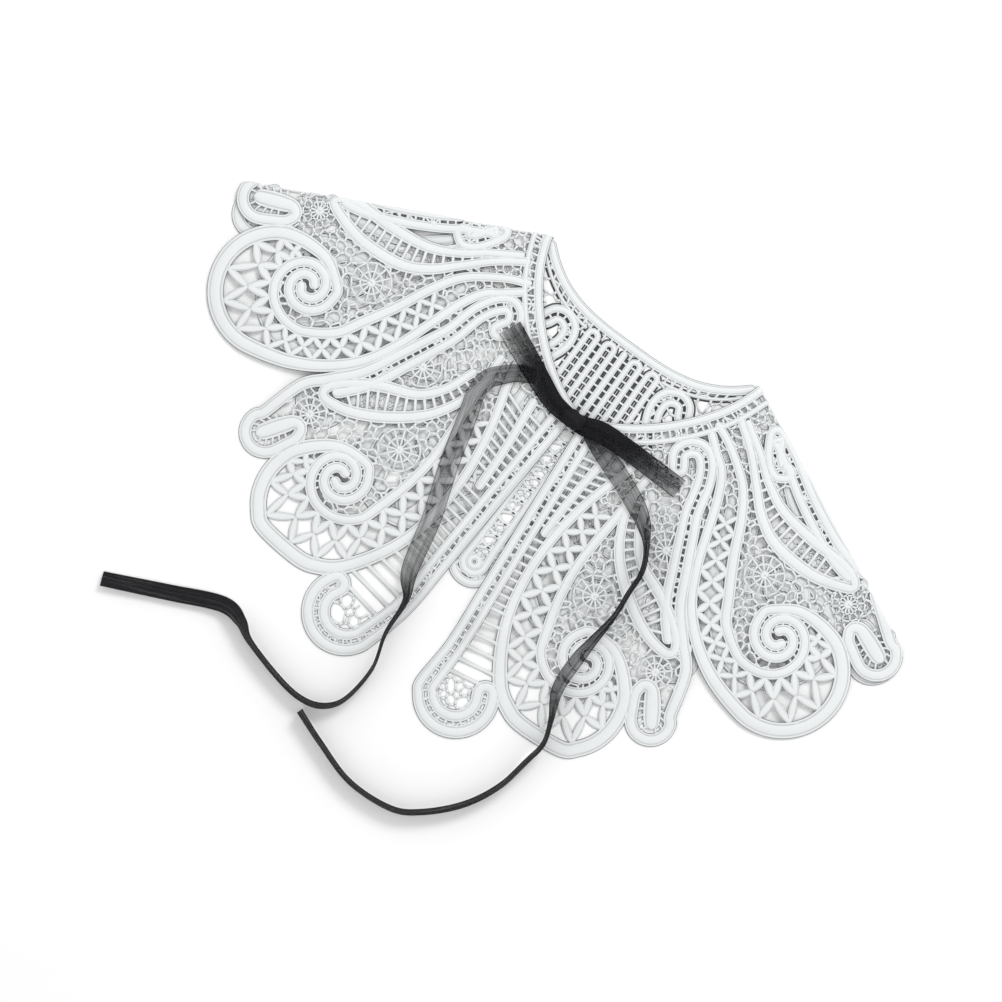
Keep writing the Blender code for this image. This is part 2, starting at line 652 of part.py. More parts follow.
# The bow's loops lie pressed flat, both layers in one wall: x, y, turn on edge in degrees and width in mm
LEFT_LOOP = ((-9.2, -70.2, 0, 7.0), (-14, -69.5, 0, 10.5), (-20, -67.5, 0, 12.4), (-31, -62.5, 0, 12.6),
             (-43, -57, 0, 12.6), (-56.5, -51, 0, 12.8))  # fmt: skip
RIGHT_LOOP = ((5.8, -69.6, 0, 7.0), (11, -68, 0, 9.6), (17, -66.8, 0, 10.6), (35, -66.5, 0, 10.6),
              (50, -66.8, 0, 10.8), (64, -67.2, 0, 11.0))  # fmt: skip
# The ribbon's free ends: x, y, turn on edge in degrees and width in mm
LEFT_TAIL = (
    (-39.4, -67.9, 0, 10.4), (-44.5, -72.5, 4, 10.4), (-50, -79.5, 10, 10.4), (-50.5, -89, 18, 10.4),
    (-47, -101, 12, 10.4), (-41, -124, 8, 10.4), (-35.5, -141, 8, 10.4), (-30.5, -157, 8, 10.4),
    (-24.5, -183, 20, 10.4), (-17, -197, 55, 10.4), (-15.5, -217, 70, 10.4), (-10.5, -236, 74, 10.4),
    (-12.5, -257, 72, 10.4), (-20.5, -267, 66, 10.4), (-33, -270, 70, 10.4), (-50, -267.5, 74, 10.4),
    (-70.5, -261.5, 70, 10.4), (-80, -256, 50, 10.4), (-93, -254.5, 12, 10.4), (-119, -266, 0, 10.4),
    (-151.5, -280.5, 0, 10.4),
)  # fmt: skip
RIGHT_TAIL = (
    (27.5, -77.6, 4, 10.4), (38, -81.5, 8, 10.4), (49, -86.5, 12, 10.4), (58.5, -92, 25, 10.4),
    (69, -102, 55, 10.4), (73, -113, 70, 10.4), (74, -126, 66, 10.4), (75, -140, 60, 10.4),
    (73.5, -156, 55, 10.4), (72.5, -170, 45, 10.4), (73.5, -188, 50, 10.4), (80, -203, 66, 10.4),
    (84, -215, 74, 10.4), (82.5, -227, 72, 10.4), (79, -246, 60, 10.4), (69.5, -264.5, 62, 10.4),
    (54, -281, 70, 10.4), (39.5, -289, 74, 10.4), (14, -290, 76, 10.4), (-10.5, -282.5, 74, 10.4),
    (-28, -275.5, 72, 10.4),
)  # fmt: skip


def ground(points, fronts, back_plan):
    """The height of what lies under the ribbon."""
    height = np.zeros(len(points))
    on_back = inside(points, back_plan.edge) | (distance_to(points, back_plan.edge) < BESIDE_CLOTH)
    height[on_back] = WALL + RIDGE
    for plan, folds, left in fronts:
        own = mirrored(points) if left else points
        on_front = inside(own, plan.edge) | (distance_to(own, plan.edge) < BESIDE_CLOTH)
        over = front_height(own, folds) + WALL / 2 + RIDGE
        height = np.where(on_front, np.maximum(height, over), height)
    return height


def laid_strip(name, rows, wall, fronts, back_plan, material):
    """A stretch of ribbon that lies on what is under it."""
    line = smooth(rows, RIBBON_STEP / MM)
    plan_line, twists, widths = line[:, :2] * MM, line[:, 2], line[:, 3] * MM
    tilt = np.radians(twists)
    side = np.gradient(plan_line, axis=0)
    side = np.column_stack([-side[:, 1], side[:, 0]]) / np.linalg.norm(side, axis=1)[:, None]
    under = np.zeros(len(line))
    for share in (-1, -0.5, 0, 0.5, 1):
        spot = plan_line + (share * widths / 2 * np.cos(tilt))[:, None] * side
        under = np.maximum(under, ground(spot, fronts, back_plan))
    padded = np.pad(under, 2, mode="edge")
    highest = np.max([padded[i : i + len(under)] for i in range(5)], axis=0)
    padded = np.pad(highest, 1, mode="edge")
    level = np.maximum(highest, (padded[:-2] + padded[1:-1] + padded[2:]) / 3)
    z = level + CLEAR + wall / 2 * np.cos(tilt) + widths / 2 * np.sin(tilt)
    z[level < WALL] -= CLEAR / 2
    return strip(name, np.column_stack([plan_line, z]), widths, twists, wall, material)


def knot(name, material):
    """The small tied lump at the middle of the ribbon."""
    rings, sides = KNOT_RINGS, KNOT_SIDES
    vertices = [KNOT.tolist() + [KNOT_HEIGHT + KNOT_RADII[2]]]
    for ring in range(1, rings):
        rise = math.pi * ring / rings
        for spoke in range(sides):
            turn = 2 * math.pi * spoke / sides
            x, y = math.sin(rise) * math.cos(turn), math.sin(rise) * math.sin(turn)
            place = KNOT_RADII * (x, y, math.cos(rise))
            vertices.append([KNOT[0] + place[0], KNOT[1] + place[1], KNOT_HEIGHT + place[2]])
    vertices.append(KNOT.tolist() + [KNOT_HEIGHT - KNOT_RADII[2]])
    last = len(vertices) - 1
    faces = []
    for spoke in range(sides):
        after = (spoke + 1) % sides
        faces.append((0, 1 + spoke, 1 + after))
        faces.append((last, last - sides + after, last - sides + spoke))
        for ring in range(rings - 2):
            a, b = 1 + ring * sides + spoke, 1 + ring * sides + after
            faces.append((a, a + sides, b + sides, b))
    return add_object(name, np.array(vertices), faces, material)


def material(name, colour, roughness):
    made = bpy.data.materials.new(name)
    made.use_nodes = True
    shader = made.node_tree.nodes["Principled BSDF"]
    shader.inputs["Base Color"].default_value = (*colour, 1.0)
    shader.inputs["Roughness"].default_value = roughness
    made.diffuse_color = (*colour, 1.0)
    return made


def centre_on_table():
    """Moves everything so that the middle of its outline on the table is the origin."""
    meshes = [obj.data for obj in bpy.data.objects]
    places = [np.array([tuple(vertex.co) for vertex in mesh.vertices]) for mesh in meshes]
    everything = np.vstack(places)
    middle = (everything.min(axis=0) + everything.max(axis=0)) / 2
    middle[2] = 0.0
    for mesh, place in zip(meshes, places):
        mesh.vertices.foreach_set("co", (place - middle).ravel())
        mesh.update()


def main():
    for obj in list(bpy.data.objects):
        bpy.data.objects.remove(obj, do_unlink=True)
    white, black = (0.88, 0.88, 0.86), (0.03, 0.03, 0.035)
    _, back_plan = back("collar_back", material("collar_back_cotton", white, 0.85))
    fronts = []
    for side, fingers, edge_turn, folds in (
        ("right", RIGHT_FINGERS, 4.2, FOLD_TABLE_RIGHT),
        ("left", LEFT_FINGERS, 3.8, FOLD_TABLE_LEFT),
    ):
        name = "collar_front_" + side
        left = side == "left"
        _, plan = front(name, fingers, edge_turn, folds, left, material(name + "_cotton", white, 0.85))
        fronts.append((plan, folds, left))
    knot("ribbon_knot", material("ribbon_knot_organza", black, 0.5))
    for name, rows, wall in (
        ("ribbon_loop_left", LEFT_LOOP, LOOP_WALL),
        ("ribbon_loop_right", RIGHT_LOOP, LOOP_WALL),
        ("ribbon_tail_left", LEFT_TAIL, RIBBON_WALL),
        ("ribbon_tail_right", RIGHT_TAIL, RIBBON_WALL),
    ):
        laid_strip(name, rows, wall, fronts, back_plan, material(name + "_organza", black, 0.5))
    centre_on_table()


main()
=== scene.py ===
# %% [markdown]
# # A tape-lace collar with a ribbon
# The collar lies flat on a table, folded over at both shoulders, so its back is underneath and its two
# fronts are on top. This lesson works it as a lace maker would: first a flat pattern, then the tapes that
# follow it, then the threads that join the tapes, and at the end the whole flat work is laid out and folded.
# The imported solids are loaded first. They are the fixed frame that every piece has to fit.

# %% Load the frame
import math

import bpy
import numpy as np
from mathutils import Matrix, Vector
from mathutils.geometry import delaunay_2d_cdt


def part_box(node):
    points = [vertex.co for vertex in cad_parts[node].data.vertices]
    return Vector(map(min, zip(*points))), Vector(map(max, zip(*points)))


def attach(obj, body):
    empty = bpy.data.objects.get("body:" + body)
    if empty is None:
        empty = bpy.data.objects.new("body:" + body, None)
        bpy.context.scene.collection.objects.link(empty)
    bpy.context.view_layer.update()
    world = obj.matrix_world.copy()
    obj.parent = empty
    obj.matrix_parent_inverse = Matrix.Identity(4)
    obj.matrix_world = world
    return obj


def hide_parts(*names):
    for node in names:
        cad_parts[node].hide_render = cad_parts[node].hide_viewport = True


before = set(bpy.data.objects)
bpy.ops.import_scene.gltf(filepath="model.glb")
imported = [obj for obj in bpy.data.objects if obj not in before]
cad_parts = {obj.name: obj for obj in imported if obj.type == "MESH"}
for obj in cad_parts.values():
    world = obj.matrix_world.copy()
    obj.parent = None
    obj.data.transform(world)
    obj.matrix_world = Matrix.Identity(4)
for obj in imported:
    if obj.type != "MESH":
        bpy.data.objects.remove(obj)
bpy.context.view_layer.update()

bpy.ops.object.select_all(action="DESELECT")
print("solids in the frame:", len(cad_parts))

# %% [markdown]
# ## Sizes
# The flat pattern is drawn in millimetres, with the middle of the fronts' neck as its zero. The ribbon's
# knot is the piece whose place is known both in the pattern and in the frame, so it tells how far the
# pattern lies from the frame.

# %% Sizes in millimetres
FRONT_NECK, BACK_NECK, SHOULDER_X, DEPTH = 66.0, 126.0, 65.0, 163.0
NECK_FLAT = 8.5  # how far the fronts' neck edge is flatter than a circle
FOLD_FALL = math.radians(25.8)
FOLD_OUT = np.array([math.sin(FOLD_FALL), math.cos(FOLD_FALL)])
FOLD_ALONG = np.array([math.cos(FOLD_FALL), -math.sin(FOLD_FALL)])
SHOULDER = np.array([SHOULDER_X, 0.0])
BACK_CENTRE = np.array([0.0, math.sqrt(BACK_NECK**2 - SHOULDER_X**2)])
BACK_MIDDLE, FRONT_MIDDLE = 0.5, 2.5
FOLD_RADIUS = (FRONT_MIDDLE - BACK_MIDDLE) / 2
FOLD_LENGTH = math.pi * FOLD_RADIUS
TAPE, BAND = 4.6, 4.8
KNOT = np.array([-1.7, -70.3])

knot_low, knot_high = (np.array(corner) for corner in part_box("ribbon_knot"))
SHIFT = (knot_low + knot_high)[:2] / 2 - KNOT / 1000
print("pattern to frame, in mm:", (SHIFT * 1000).round(2))

# %% [markdown]
# ## The camera
# The photograph looks straight down on the table, with the collar turned on it. So the camera hangs over
# the middle of the picture and is rolled, and a long lens keeps the view nearly parallel.

# %% Camera
VIEW_WIDTH, CAMERA_HEIGHT, ROLL = 0.521, 1.447, math.radians(35.93)
VIEW_MIDDLE = np.array([-7.3, -126.4]) / 1000 + SHIFT
camera_data = bpy.data.cameras.new("camera")
camera_data.lens = 36 * CAMERA_HEIGHT / VIEW_WIDTH
camera = bpy.data.objects.new("camera", camera_data)
camera.location = (*VIEW_MIDDLE, CAMERA_HEIGHT)
camera.rotation_euler = (0, 0, ROLL)
bpy.context.scene.collection.objects.link(camera)
bpy.context.scene.camera = camera
print("lens in mm:", round(camera_data.lens, 1))

# %% [markdown]
# ## Drawing curves
# Lace is all curves. A Catmull-Rom curve runs through every point that it is given, which makes it easy to
# place a scroll or a hook with a few points, and its points are then spread evenly. A third column can carry
# a tape's width along with the curve.

# %% Curve tools
def evenly(line, step, closed=False):
    if closed:
        line = np.vstack([line, line[:1]])
    along = np.concatenate([[0], np.cumsum(np.linalg.norm(np.diff(line[:, :2], axis=0), axis=1))])
    at = np.linspace(0, along[-1], max(2, round(along[-1] / step)) + 1)
    out = np.stack([np.interp(at, along, column) for column in line.T], axis=1)
    return out[:-1] if closed else out


def smooth(points, step=1.7, closed=False):
    p = np.array(points, float)
    ends = (p[-1:], p[:2]) if closed else (2 * p[:1] - p[1:2], 2 * p[-1:] - p[-2:-1])
    p = np.vstack([ends[0], p, ends[1]])
    t = np.linspace(0, 1, 16, endpoint=False)[:, None]
    runs = [0.5 * (2 * b + (c - a) * t + (2 * a - 5 * b + 4 * c - d) * t**2 + (3 * b - a - 3 * c + d) * t**3)
            for a, b, c, d in zip(p, p[1:], p[2:], p[3:])]
    if not closed:
        runs.append(p[-2:-1])
    return evenly(np.vstack(runs), step, closed)


def left_of(line):
    along = np.gradient(line[:, :2], axis=0)
    along /= np.maximum(np.linalg.norm(along, axis=1), 1e-9)[:, None]
    return np.stack([-along[:, 1], along[:, 0]], axis=1)


def sideways(line, offset):
    return line[:, :2] + np.reshape(offset, (-1, 1)) * left_of(line)


def length_of(line):
    return np.linalg.norm(np.diff(line[:, :2], axis=0), axis=1).sum()


def inside(points, polygon):
    x, y = points[:, 0][:, None], points[:, 1][:, None]
    x0, y0 = polygon.T
    x1, y1 = np.roll(polygon, -1, axis=0).T
    rise = np.where(y1 == y0, 1e-9, y1 - y0)
    crossing = ((y0 > y) != (y1 > y)) & (x < (x1 - x0) * (y - y0) / rise + x0)
    return crossing.sum(axis=1) % 2 == 1


def nearest_on(points, line):
    """The nearest place to each point on each stretch of a line, and how far off it is."""
    a, run = line[:-1, :2], np.diff(line[:, :2], axis=0)
    share = ((points[:, None] - a) * run).sum(axis=2) / np.maximum((run**2).sum(axis=1), 1e-9)
    near = a + np.clip(share, 0, 1)[:, :, None] * run
    return near, np.linalg.norm(points[:, None] - near, axis=2)


def distance_to(points, line):
    return nearest_on(points, line)[1].min(axis=1)


def circle(middle, radius, count):
    turns = np.linspace(0, 2 * math.pi, count)
    return middle + radius * np.stack([np.cos(turns), np.sin(turns)], axis=1)


def ray_reach(points, rays, line):
    """How far each ray runs until it meets a line, less half of the line's width there."""
    run = np.diff(line[:, :2], axis=0)
    off = line[:-1, :2] - points[:, None]
    slant = rays[:, None, 0] * run[:, 1] - rays[:, None, 1] * run[:, 0]
    reach = (off[:, :, 0] * run[:, 1] - off[:, :, 1] * run[:, 0]) / slant
    share = (off[:, :, 0] * rays[:, None, 1] - off[:, :, 1] * rays[:, None, 0]) / slant
    reach = np.where((share >= 0) & (share <= 1) & (reach > 0.5), reach - line[:-1, 2] / 2, np.inf)
    return reach.min(axis=1)


def past_fold(points):
    return (points[:, :2] - SHOULDER) @ FOLD_OUT


def mirrored(points):
    points = np.array(points, float)
    points[..., 0] *= -1
    return points


def eased(share):
    share = np.clip(share, 0, 1)
    return share * share * (3 - 2 * share)


def swell(share):
    return 0.5 + 0.5 * np.cos(math.pi * np.clip(np.abs(share), 0, 1))


print("a smooth curve through three points has", len(smooth([(0, 0), (10, 5), (20, 0)])), "points")

# %% [markdown]
# ## The pattern
# The lace repeats round the neck: from one finger on the hem to the next, with a lobe between them that
# holds a double scroll. A repeat is given by shares of the way across it and depths from the neck, so that
# one table serves wherever the repeat comes again. On the fronts the tapes also sweep round towards the
# shoulder.

# %% A panel's polar places
SWEEP_AT, SWEEP = (5, 35, 50, 71), (0, 26, 26, 18)


class Panel:
    def __init__(self, centre, neck, swept):
        self.centre, self.neck, self.swept = centre, neck, swept

    def axes(self, turn, depth):
        turn = math.radians(turn)
        outward = np.array([math.sin(turn), -math.cos(turn)])
        return self.centre + (self.neck + depth) * outward, np.array([math.cos(turn), math.sin(turn)]), outward

    def at(self, turn, depth):
        if self.swept:
            turn += np.interp(turn, SWEEP_AT, SWEEP) * max(0, 1 - depth / DEPTH) ** 2.5
        return self.axes(turn, depth)[0]


def around(place, wide, deep, degrees):
    middle, along, outward = place
    turn = math.radians(degrees)
    return middle + wide * math.cos(turn) * along + deep * math.sin(turn) * outward


def moved(place, along_mm, outward_mm):
    middle, along, outward = place
    return middle + along_mm * along + outward_mm * outward


print("the fronts' tapes sweep by up to", max(SWEEP), "degrees")

# %% The tables of a repeat
# Each place is the share across, the depth and the tape's width there.
INNER_RUNS = dict(
    outline=((0.45, 8, 4.4), (0.33, 20, 4.6), (0.20, 34, 4.8), (0.12, 48, 5.0), (0.06, 66, 5.0),
             (0.035, 86, 5.2), (0.05, 107, 5.8), (0.105, 126, 6.6), (0.185, 144, 7.4), (0.265, 153.5, 7.8),
             (0.36, 159.5, 7.8)),
    lobe_from=88,
    scroll=((0.54, 18, 4.4), (0.46, 30, 4.4), (0.40, 44, 4.8), (0.345, 57, 5.0), (0.30, 73, 5.0),
            (0.288, 91, 5.2), (0.304, 110, 5.6)),
    scroll_from=180,
    teardrop=((0.46, 30, 4.4), (0.47, 46, 4.8), (0.55, 64, 5.6), (0.715, 84, 6.2), (0.885, 101, 6.0),
              (1.03, 111, 5.4), (1.09, 109, 5.2), (1.05, 98, 5.6), (0.90, 81, 6.2), (0.71, 65, 5.6),
              (0.61, 50, 4.8), (0.58, 34, 4.4)),
    finger=((0.695, 15), (0.685, 6.5), (0.80, 3.5), (0.955, 8), (1.07, 17), (1.07, 28), (1.0, 41),
            (1.01, 52), (1.035, 67), (1.065, 88), (1.135, 107), (1.17, 122)),
    wheels=((0.49, 85, 11.5), (0.84, 58, 10.5), (0.99, 121, 9)))
OUTER_RUNS = dict(
    outline=((0.04, 5, 4.6), (0.10, 14, 4.6), (0.17, 24, 4.8), (0.16, 36, 5.0), (0.115, 52, 5.0),
             (0.095, 68, 5.2), (0.115, 88, 5.6), (0.185, 108, 6.2), (0.27, 127, 7.0)),
    lobe_from=160,
    scroll=((0.14, 2, 4.4), (0.27, 14, 4.4), (0.39, 34, 4.8), (0.385, 50, 5.2), (0.345, 68, 5.6),
            (0.335, 87, 5.8), (0.33, 100, 5.8)),
    scroll_from=180,
    teardrop=((0.47, 6, 4.4), (0.53, 22, 4.4), (0.545, 38, 4.8), (0.575, 54, 5.6), (0.67, 70, 6.4),
              (0.85, 91, 6.6), (1.0, 106, 5.8), (1.065, 110, 5.4), (1.07, 99, 5.8), (0.94, 78, 6.4),
              (0.78, 57, 5.6), (0.69, 40, 4.8), (0.66, 26, 4.4), (0.60, 10, 4.4)),
    finger=((0.88, 44), (0.78, 40), (0.745, 33), (0.80, 26), (0.93, 21), (1.05, 25), (1.07, 40), (1.06, 62),
            (1.09, 90), (1.14, 114)),
    wheels=((0.565, 82, 11), (0.97, 58, 9.5), (0.994, 116, 9)))
BACK_RUNS = dict(
    outline=((0.36, 16, 4.4), (0.30, 34, 4.6), (0.21, 58, 5.0), (0.165, 86, 5.4), (0.17, 112, 6.6)),
    lobe_from=175,
    scroll=((0.50, 14, 4.2), (0.45, 34, 4.6), (0.40, 56, 5.0), (0.345, 82, 5.4), (0.32, 96, 5.6)),
    scroll_from=180,
    teardrop=((0.60, 13, 4.2), (0.60, 34, 4.6), (0.62, 56, 5.2), (0.72, 78, 6.0), (0.90, 96, 6.0),
              (1.06, 110, 5.4), (1.13, 106, 5.2), (1.08, 92, 5.6), (0.92, 72, 6.0), (0.83, 52, 5.2),
              (0.80, 34, 4.6), (0.77, 15, 4.2)),
    finger=((0.93, 33), (0.90, 21), (0.97, 13), (1.07, 17), (1.10, 32), (1.06, 58), (1.09, 90), (1.14, 114)),
    wheels=((0.55, 88, 10.5), (0.98, 118, 9)))
HEM_FROM = 100  # depth from which the panel's edge follows the outline of a repeat
SCROLL_RADIUS, SCROLL_PITCH, SCROLL_TURN, SCROLL_RISE, SCROLL_TAPE = 15.6, 12.6, 360, 17, 5.8
# how far along the scroll's middle is from the lobe's, and how far outside its tape starts
SCROLL_SHIFT, SCROLL_OPEN = 4, 5
LATTICE_FROM = 36  # depth from which the gap beside the scroll's tape is open
FINGER_DEPTH, FINGER_RADIUS, FINGER_TAPE, FINGER_DOUBLED = 146, 11.2, 6.6, 104
# how a finger's tape turns back into its middle: along, outward and width
FINGER_HOOK = ((-9.3, -8, 6.6), (-7.8, -14.6, 6.6), (-3.6, -18.6, 6.9), (0.2, -16.2, 7.8), (0.7, -10, 9.2),
               (0.6, -4, 9.6), (0.5, 0.4, 9.0))
FINGER_SLOTS = (((7.5, -13), (7.5, -6), (7.4, 0), (6.0, 4.4), (2.8, 7.0), (-1, 7.4)),
                ((5.1, -13), (5.1, -6), (5.0, 0), (4.0, 3.2), (1.4, 4.6), (-0.8, 4.4)),
                ((-5.8, -11.5), (-6.3, -6), (-7.0, 0), (-6.0, 4), (-3.4, 6.6)),
                ((-3.6, -11), (-3.8, -6), (-3.8, -1), (-3.2, 2.2), (-1.6, 4.2)))
WIDER = 1.1  # the tapes against the table's widths
INNER_LOBE = (0.558, 135.6, 28, 30.5)  # share across, depth, half width, half depth
OUTER_LOBE = (0.605, 131.8, 31, 31)
BACK_LOBE = (0.5, 124, 29, 30)
RIGHT_FINGERS, LEFT_FINGERS, BACK_FINGERS = (8.4, 35.3, 68.7), (10.0, 37.0, 70.2), (0, 24.5, 46.4)


# %% One repeat
class Repeat:
    def __init__(self, panel, start, end, lobe, runs):
        share, depth, self.half_width, self.half_depth = lobe
        self.panel, self.start, self.end, self.runs = panel, start, end, runs
        self.lobe = panel.axes(start + (end - start) * share, depth)
        self.scroll = (moved(self.lobe, SCROLL_SHIFT, -SCROLL_RISE), *self.lobe[1:])
        self.tip = panel.axes(end, FINGER_DEPTH)

    def at(self, share, depth, *width):
        return np.array([*self.panel.at(self.start + (self.end - self.start) * share, depth), *width])

    def run(self, name):
        return [self.at(share, depth, *(WIDER * wide for wide in width))
                for share, depth, *width in self.runs[name]]

    def lobe_point(self, degrees, inset=0.0, *width):
        return np.array([*around(self.lobe, self.half_width - inset, self.half_depth - inset, degrees), *width])

    def scroll_point(self, degrees, first, *width):
        radius = SCROLL_RADIUS - SCROLL_PITCH * (first - degrees) / 360
        radius += SCROLL_OPEN * (max(degrees - 20, 0) / 160) ** 1.5
        return np.array([*around(self.scroll, radius, radius, degrees), *width])

    def border(self):
        """Places of the tape from the neck round the lobe."""
        points = self.run("outline")
        points += [self.lobe_point(turn, 0, 8.4) for turn in range(self.runs["lobe_from"], -24, -19)]
        return points + [self.lobe_point(-36, 0, 7.6)]

    def outline(self):
        """The border, which then curls in as one arm of the scroll."""
        points = self.border()
        points += [np.array([*moved(self.lobe, 0.55 * self.half_width, -0.88 * self.half_depth), 6.6])]
        points += [self.scroll_point(turn, -90, SCROLL_TAPE) for turn in range(-92, -90 - SCROLL_TURN, -20)]
        return smooth(points)

    def scroll_tape(self, end=90 - SCROLL_TURN, from_depth=0, step=1.7):
        """The tape from the neck that passes below the scroll and curls in as its other arm."""
        points = [place for place, row in zip(self.run("scroll"), self.runs["scroll"]) if row[1] > from_depth]
        points += [self.scroll_point(turn, 90, SCROLL_TAPE)
                   for turn in range(self.runs["scroll_from"], end, -20)]
        return smooth(points, step)

    def finger(self):
        """The tape that starts in a hook at the neck, turns round a finger at the hem and ends inside it."""
        points = [np.array([*place, 5.0 + (FINGER_TAPE - 5.0) * eased((step - 5) / 5)])
                  for step, place in enumerate(self.run("finger"))]
        points += [np.array([*around(self.tip, FINGER_RADIUS - 0.8, FINGER_RADIUS - 0.8, turn), FINGER_TAPE])
                   for turn in range(-15, 190, 20)]
        points += [np.array([*moved(self.tip, along, outward), width]) for along, outward, width in FINGER_HOOK]
        return smooth(points)

    def finger_area(self):
        """The outline of a finger with the tape's hook in it."""
        arc = [around(self.tip, 10.4, 10.4, turn) for turn in range(0, 181, 20)]
        return np.array([moved(self.tip, 10.4, -16), *arc] + [
            moved(self.tip, *place) for place in ((-10.4, -12), (-8, -18), (-3, -22), (3, -20))])

    def spiral_gap(self, first):
        """The line of dashes between the two arms of the scroll, beside the arm that starts at first."""
        turns = np.arange(first, first - SCROLL_TURN + 120, -8)
        return [np.array([self.scroll_point(turn, first + 90 * side) for turn in turns])
                for side in (0.62, 1.38)]

    def lattice(self):
        """Both sides of the open gap between the scroll's tape and the border, how far it is across, and the
        numbers of the places where crossings start."""
        rim = self.scroll_tape(-24, LATTICE_FROM, 1.0)
        start, ray = sideways(rim, 0.5 - rim[:, 2] / 2), -left_of(rim)
        reach = ray_reach(start, ray, smooth(self.border())) + 0.5
        open_here = np.flatnonzero((reach > 5) & (reach < 30))
        start, ray, reach = start[open_here], ray[open_here], reach[open_here]
        middle = start + reach[:, None] / 2 * ray
        steps = np.linalg.norm(np.diff(middle, axis=0, prepend=middle[:1]), axis=1)
        cells = np.cumsum(steps / np.clip(0.85 * reach, 6.5, 13))
        stops = np.interp(np.linspace(0, cells[-1], round(cells[-1]) + 1), cells, np.arange(len(cells)))
        return start, start + reach[:, None] * ray, reach, stops.round().astype(int)

    def hem(self):
        """The panel's edge: along the outline, round the lobe and round the finger."""
        points = [self.at(share, depth) for share, depth, _ in self.runs["outline"] if depth > HEM_FROM]
        points += [self.lobe_point(turn) for turn in range(self.runs["lobe_from"], -41, -12)]
        return points + [around(self.tip, FINGER_RADIUS, FINGER_RADIUS, turn) for turn in range(180, -16, -20)]


def neck_line(panel, start, end, depth):
    """A line along the fronts' neck edge, which is flatter than a circle."""
    return np.array([panel.axes(turn, depth - NECK_FLAT * math.sin(math.radians(2 * turn)))[0]
                     for turn in np.arange(start, end, 2.0)])


print("a repeat has", sum(len(run) for run in INNER_RUNS.values() if isinstance(run, tuple)), "table places")

# %% [markdown]
# ## Working threads
# Everything in the lace is a woven tape with corded edges, a leaf-shaped bar, a thin bar or a ring. Each
# could be a curve with a bevel, but a collar has thousands, so they are swept here in mesh code and go
# straight into one mesh for each panel. While it is worked, the mesh stays flat: a point has its two places
# on the pattern and its lift above the middle of the cloth.

# %% The threads of a panel
# Shares of the half width, and past one the millimetres outside it, against the lift. The points past one
# make a thin flange at the tape's foot, which the cotton's colour paints near black as a painted outline of
# shade.
TAPE_PROFILE = np.array([(-1, 0), (-0.97, 0.34), (-0.86, 0.54), (-0.76, 0.46), (-0.68, 0.26), (-0.58, 0.48),
                         (-0.32, 0.74), (0, 0.82), (0.32, 0.74), (0.58, 0.48), (0.68, 0.26), (0.76, 0.46),
                         (0.86, 0.54), (0.97, 0.34), (1, 0), (1.22, -0.42), (-1.22, -0.42)])
# a tape with a flange almost a millimetre wide at its foot on each side, painted near black, so that painted
# shade fills the gap beside it
SHADE_FLANGE_PROFILE = np.vstack([TAPE_PROFILE[:-2], [(1.95, -0.42), (-1.95, -0.42)]])
LEAF_PROFILE = np.array([(-1, 0), (-0.8, 0.36), (-0.5, 0.42), (0, 0.62), (0.5, 0.42), (0.8, 0.36), (1, 0),
                         (0, -0.4)])
BAR_PROFILE = np.array([(-1, 0), (-0.55, 0.8), (0.55, 0.8), (1, 0), (0, -0.9)])


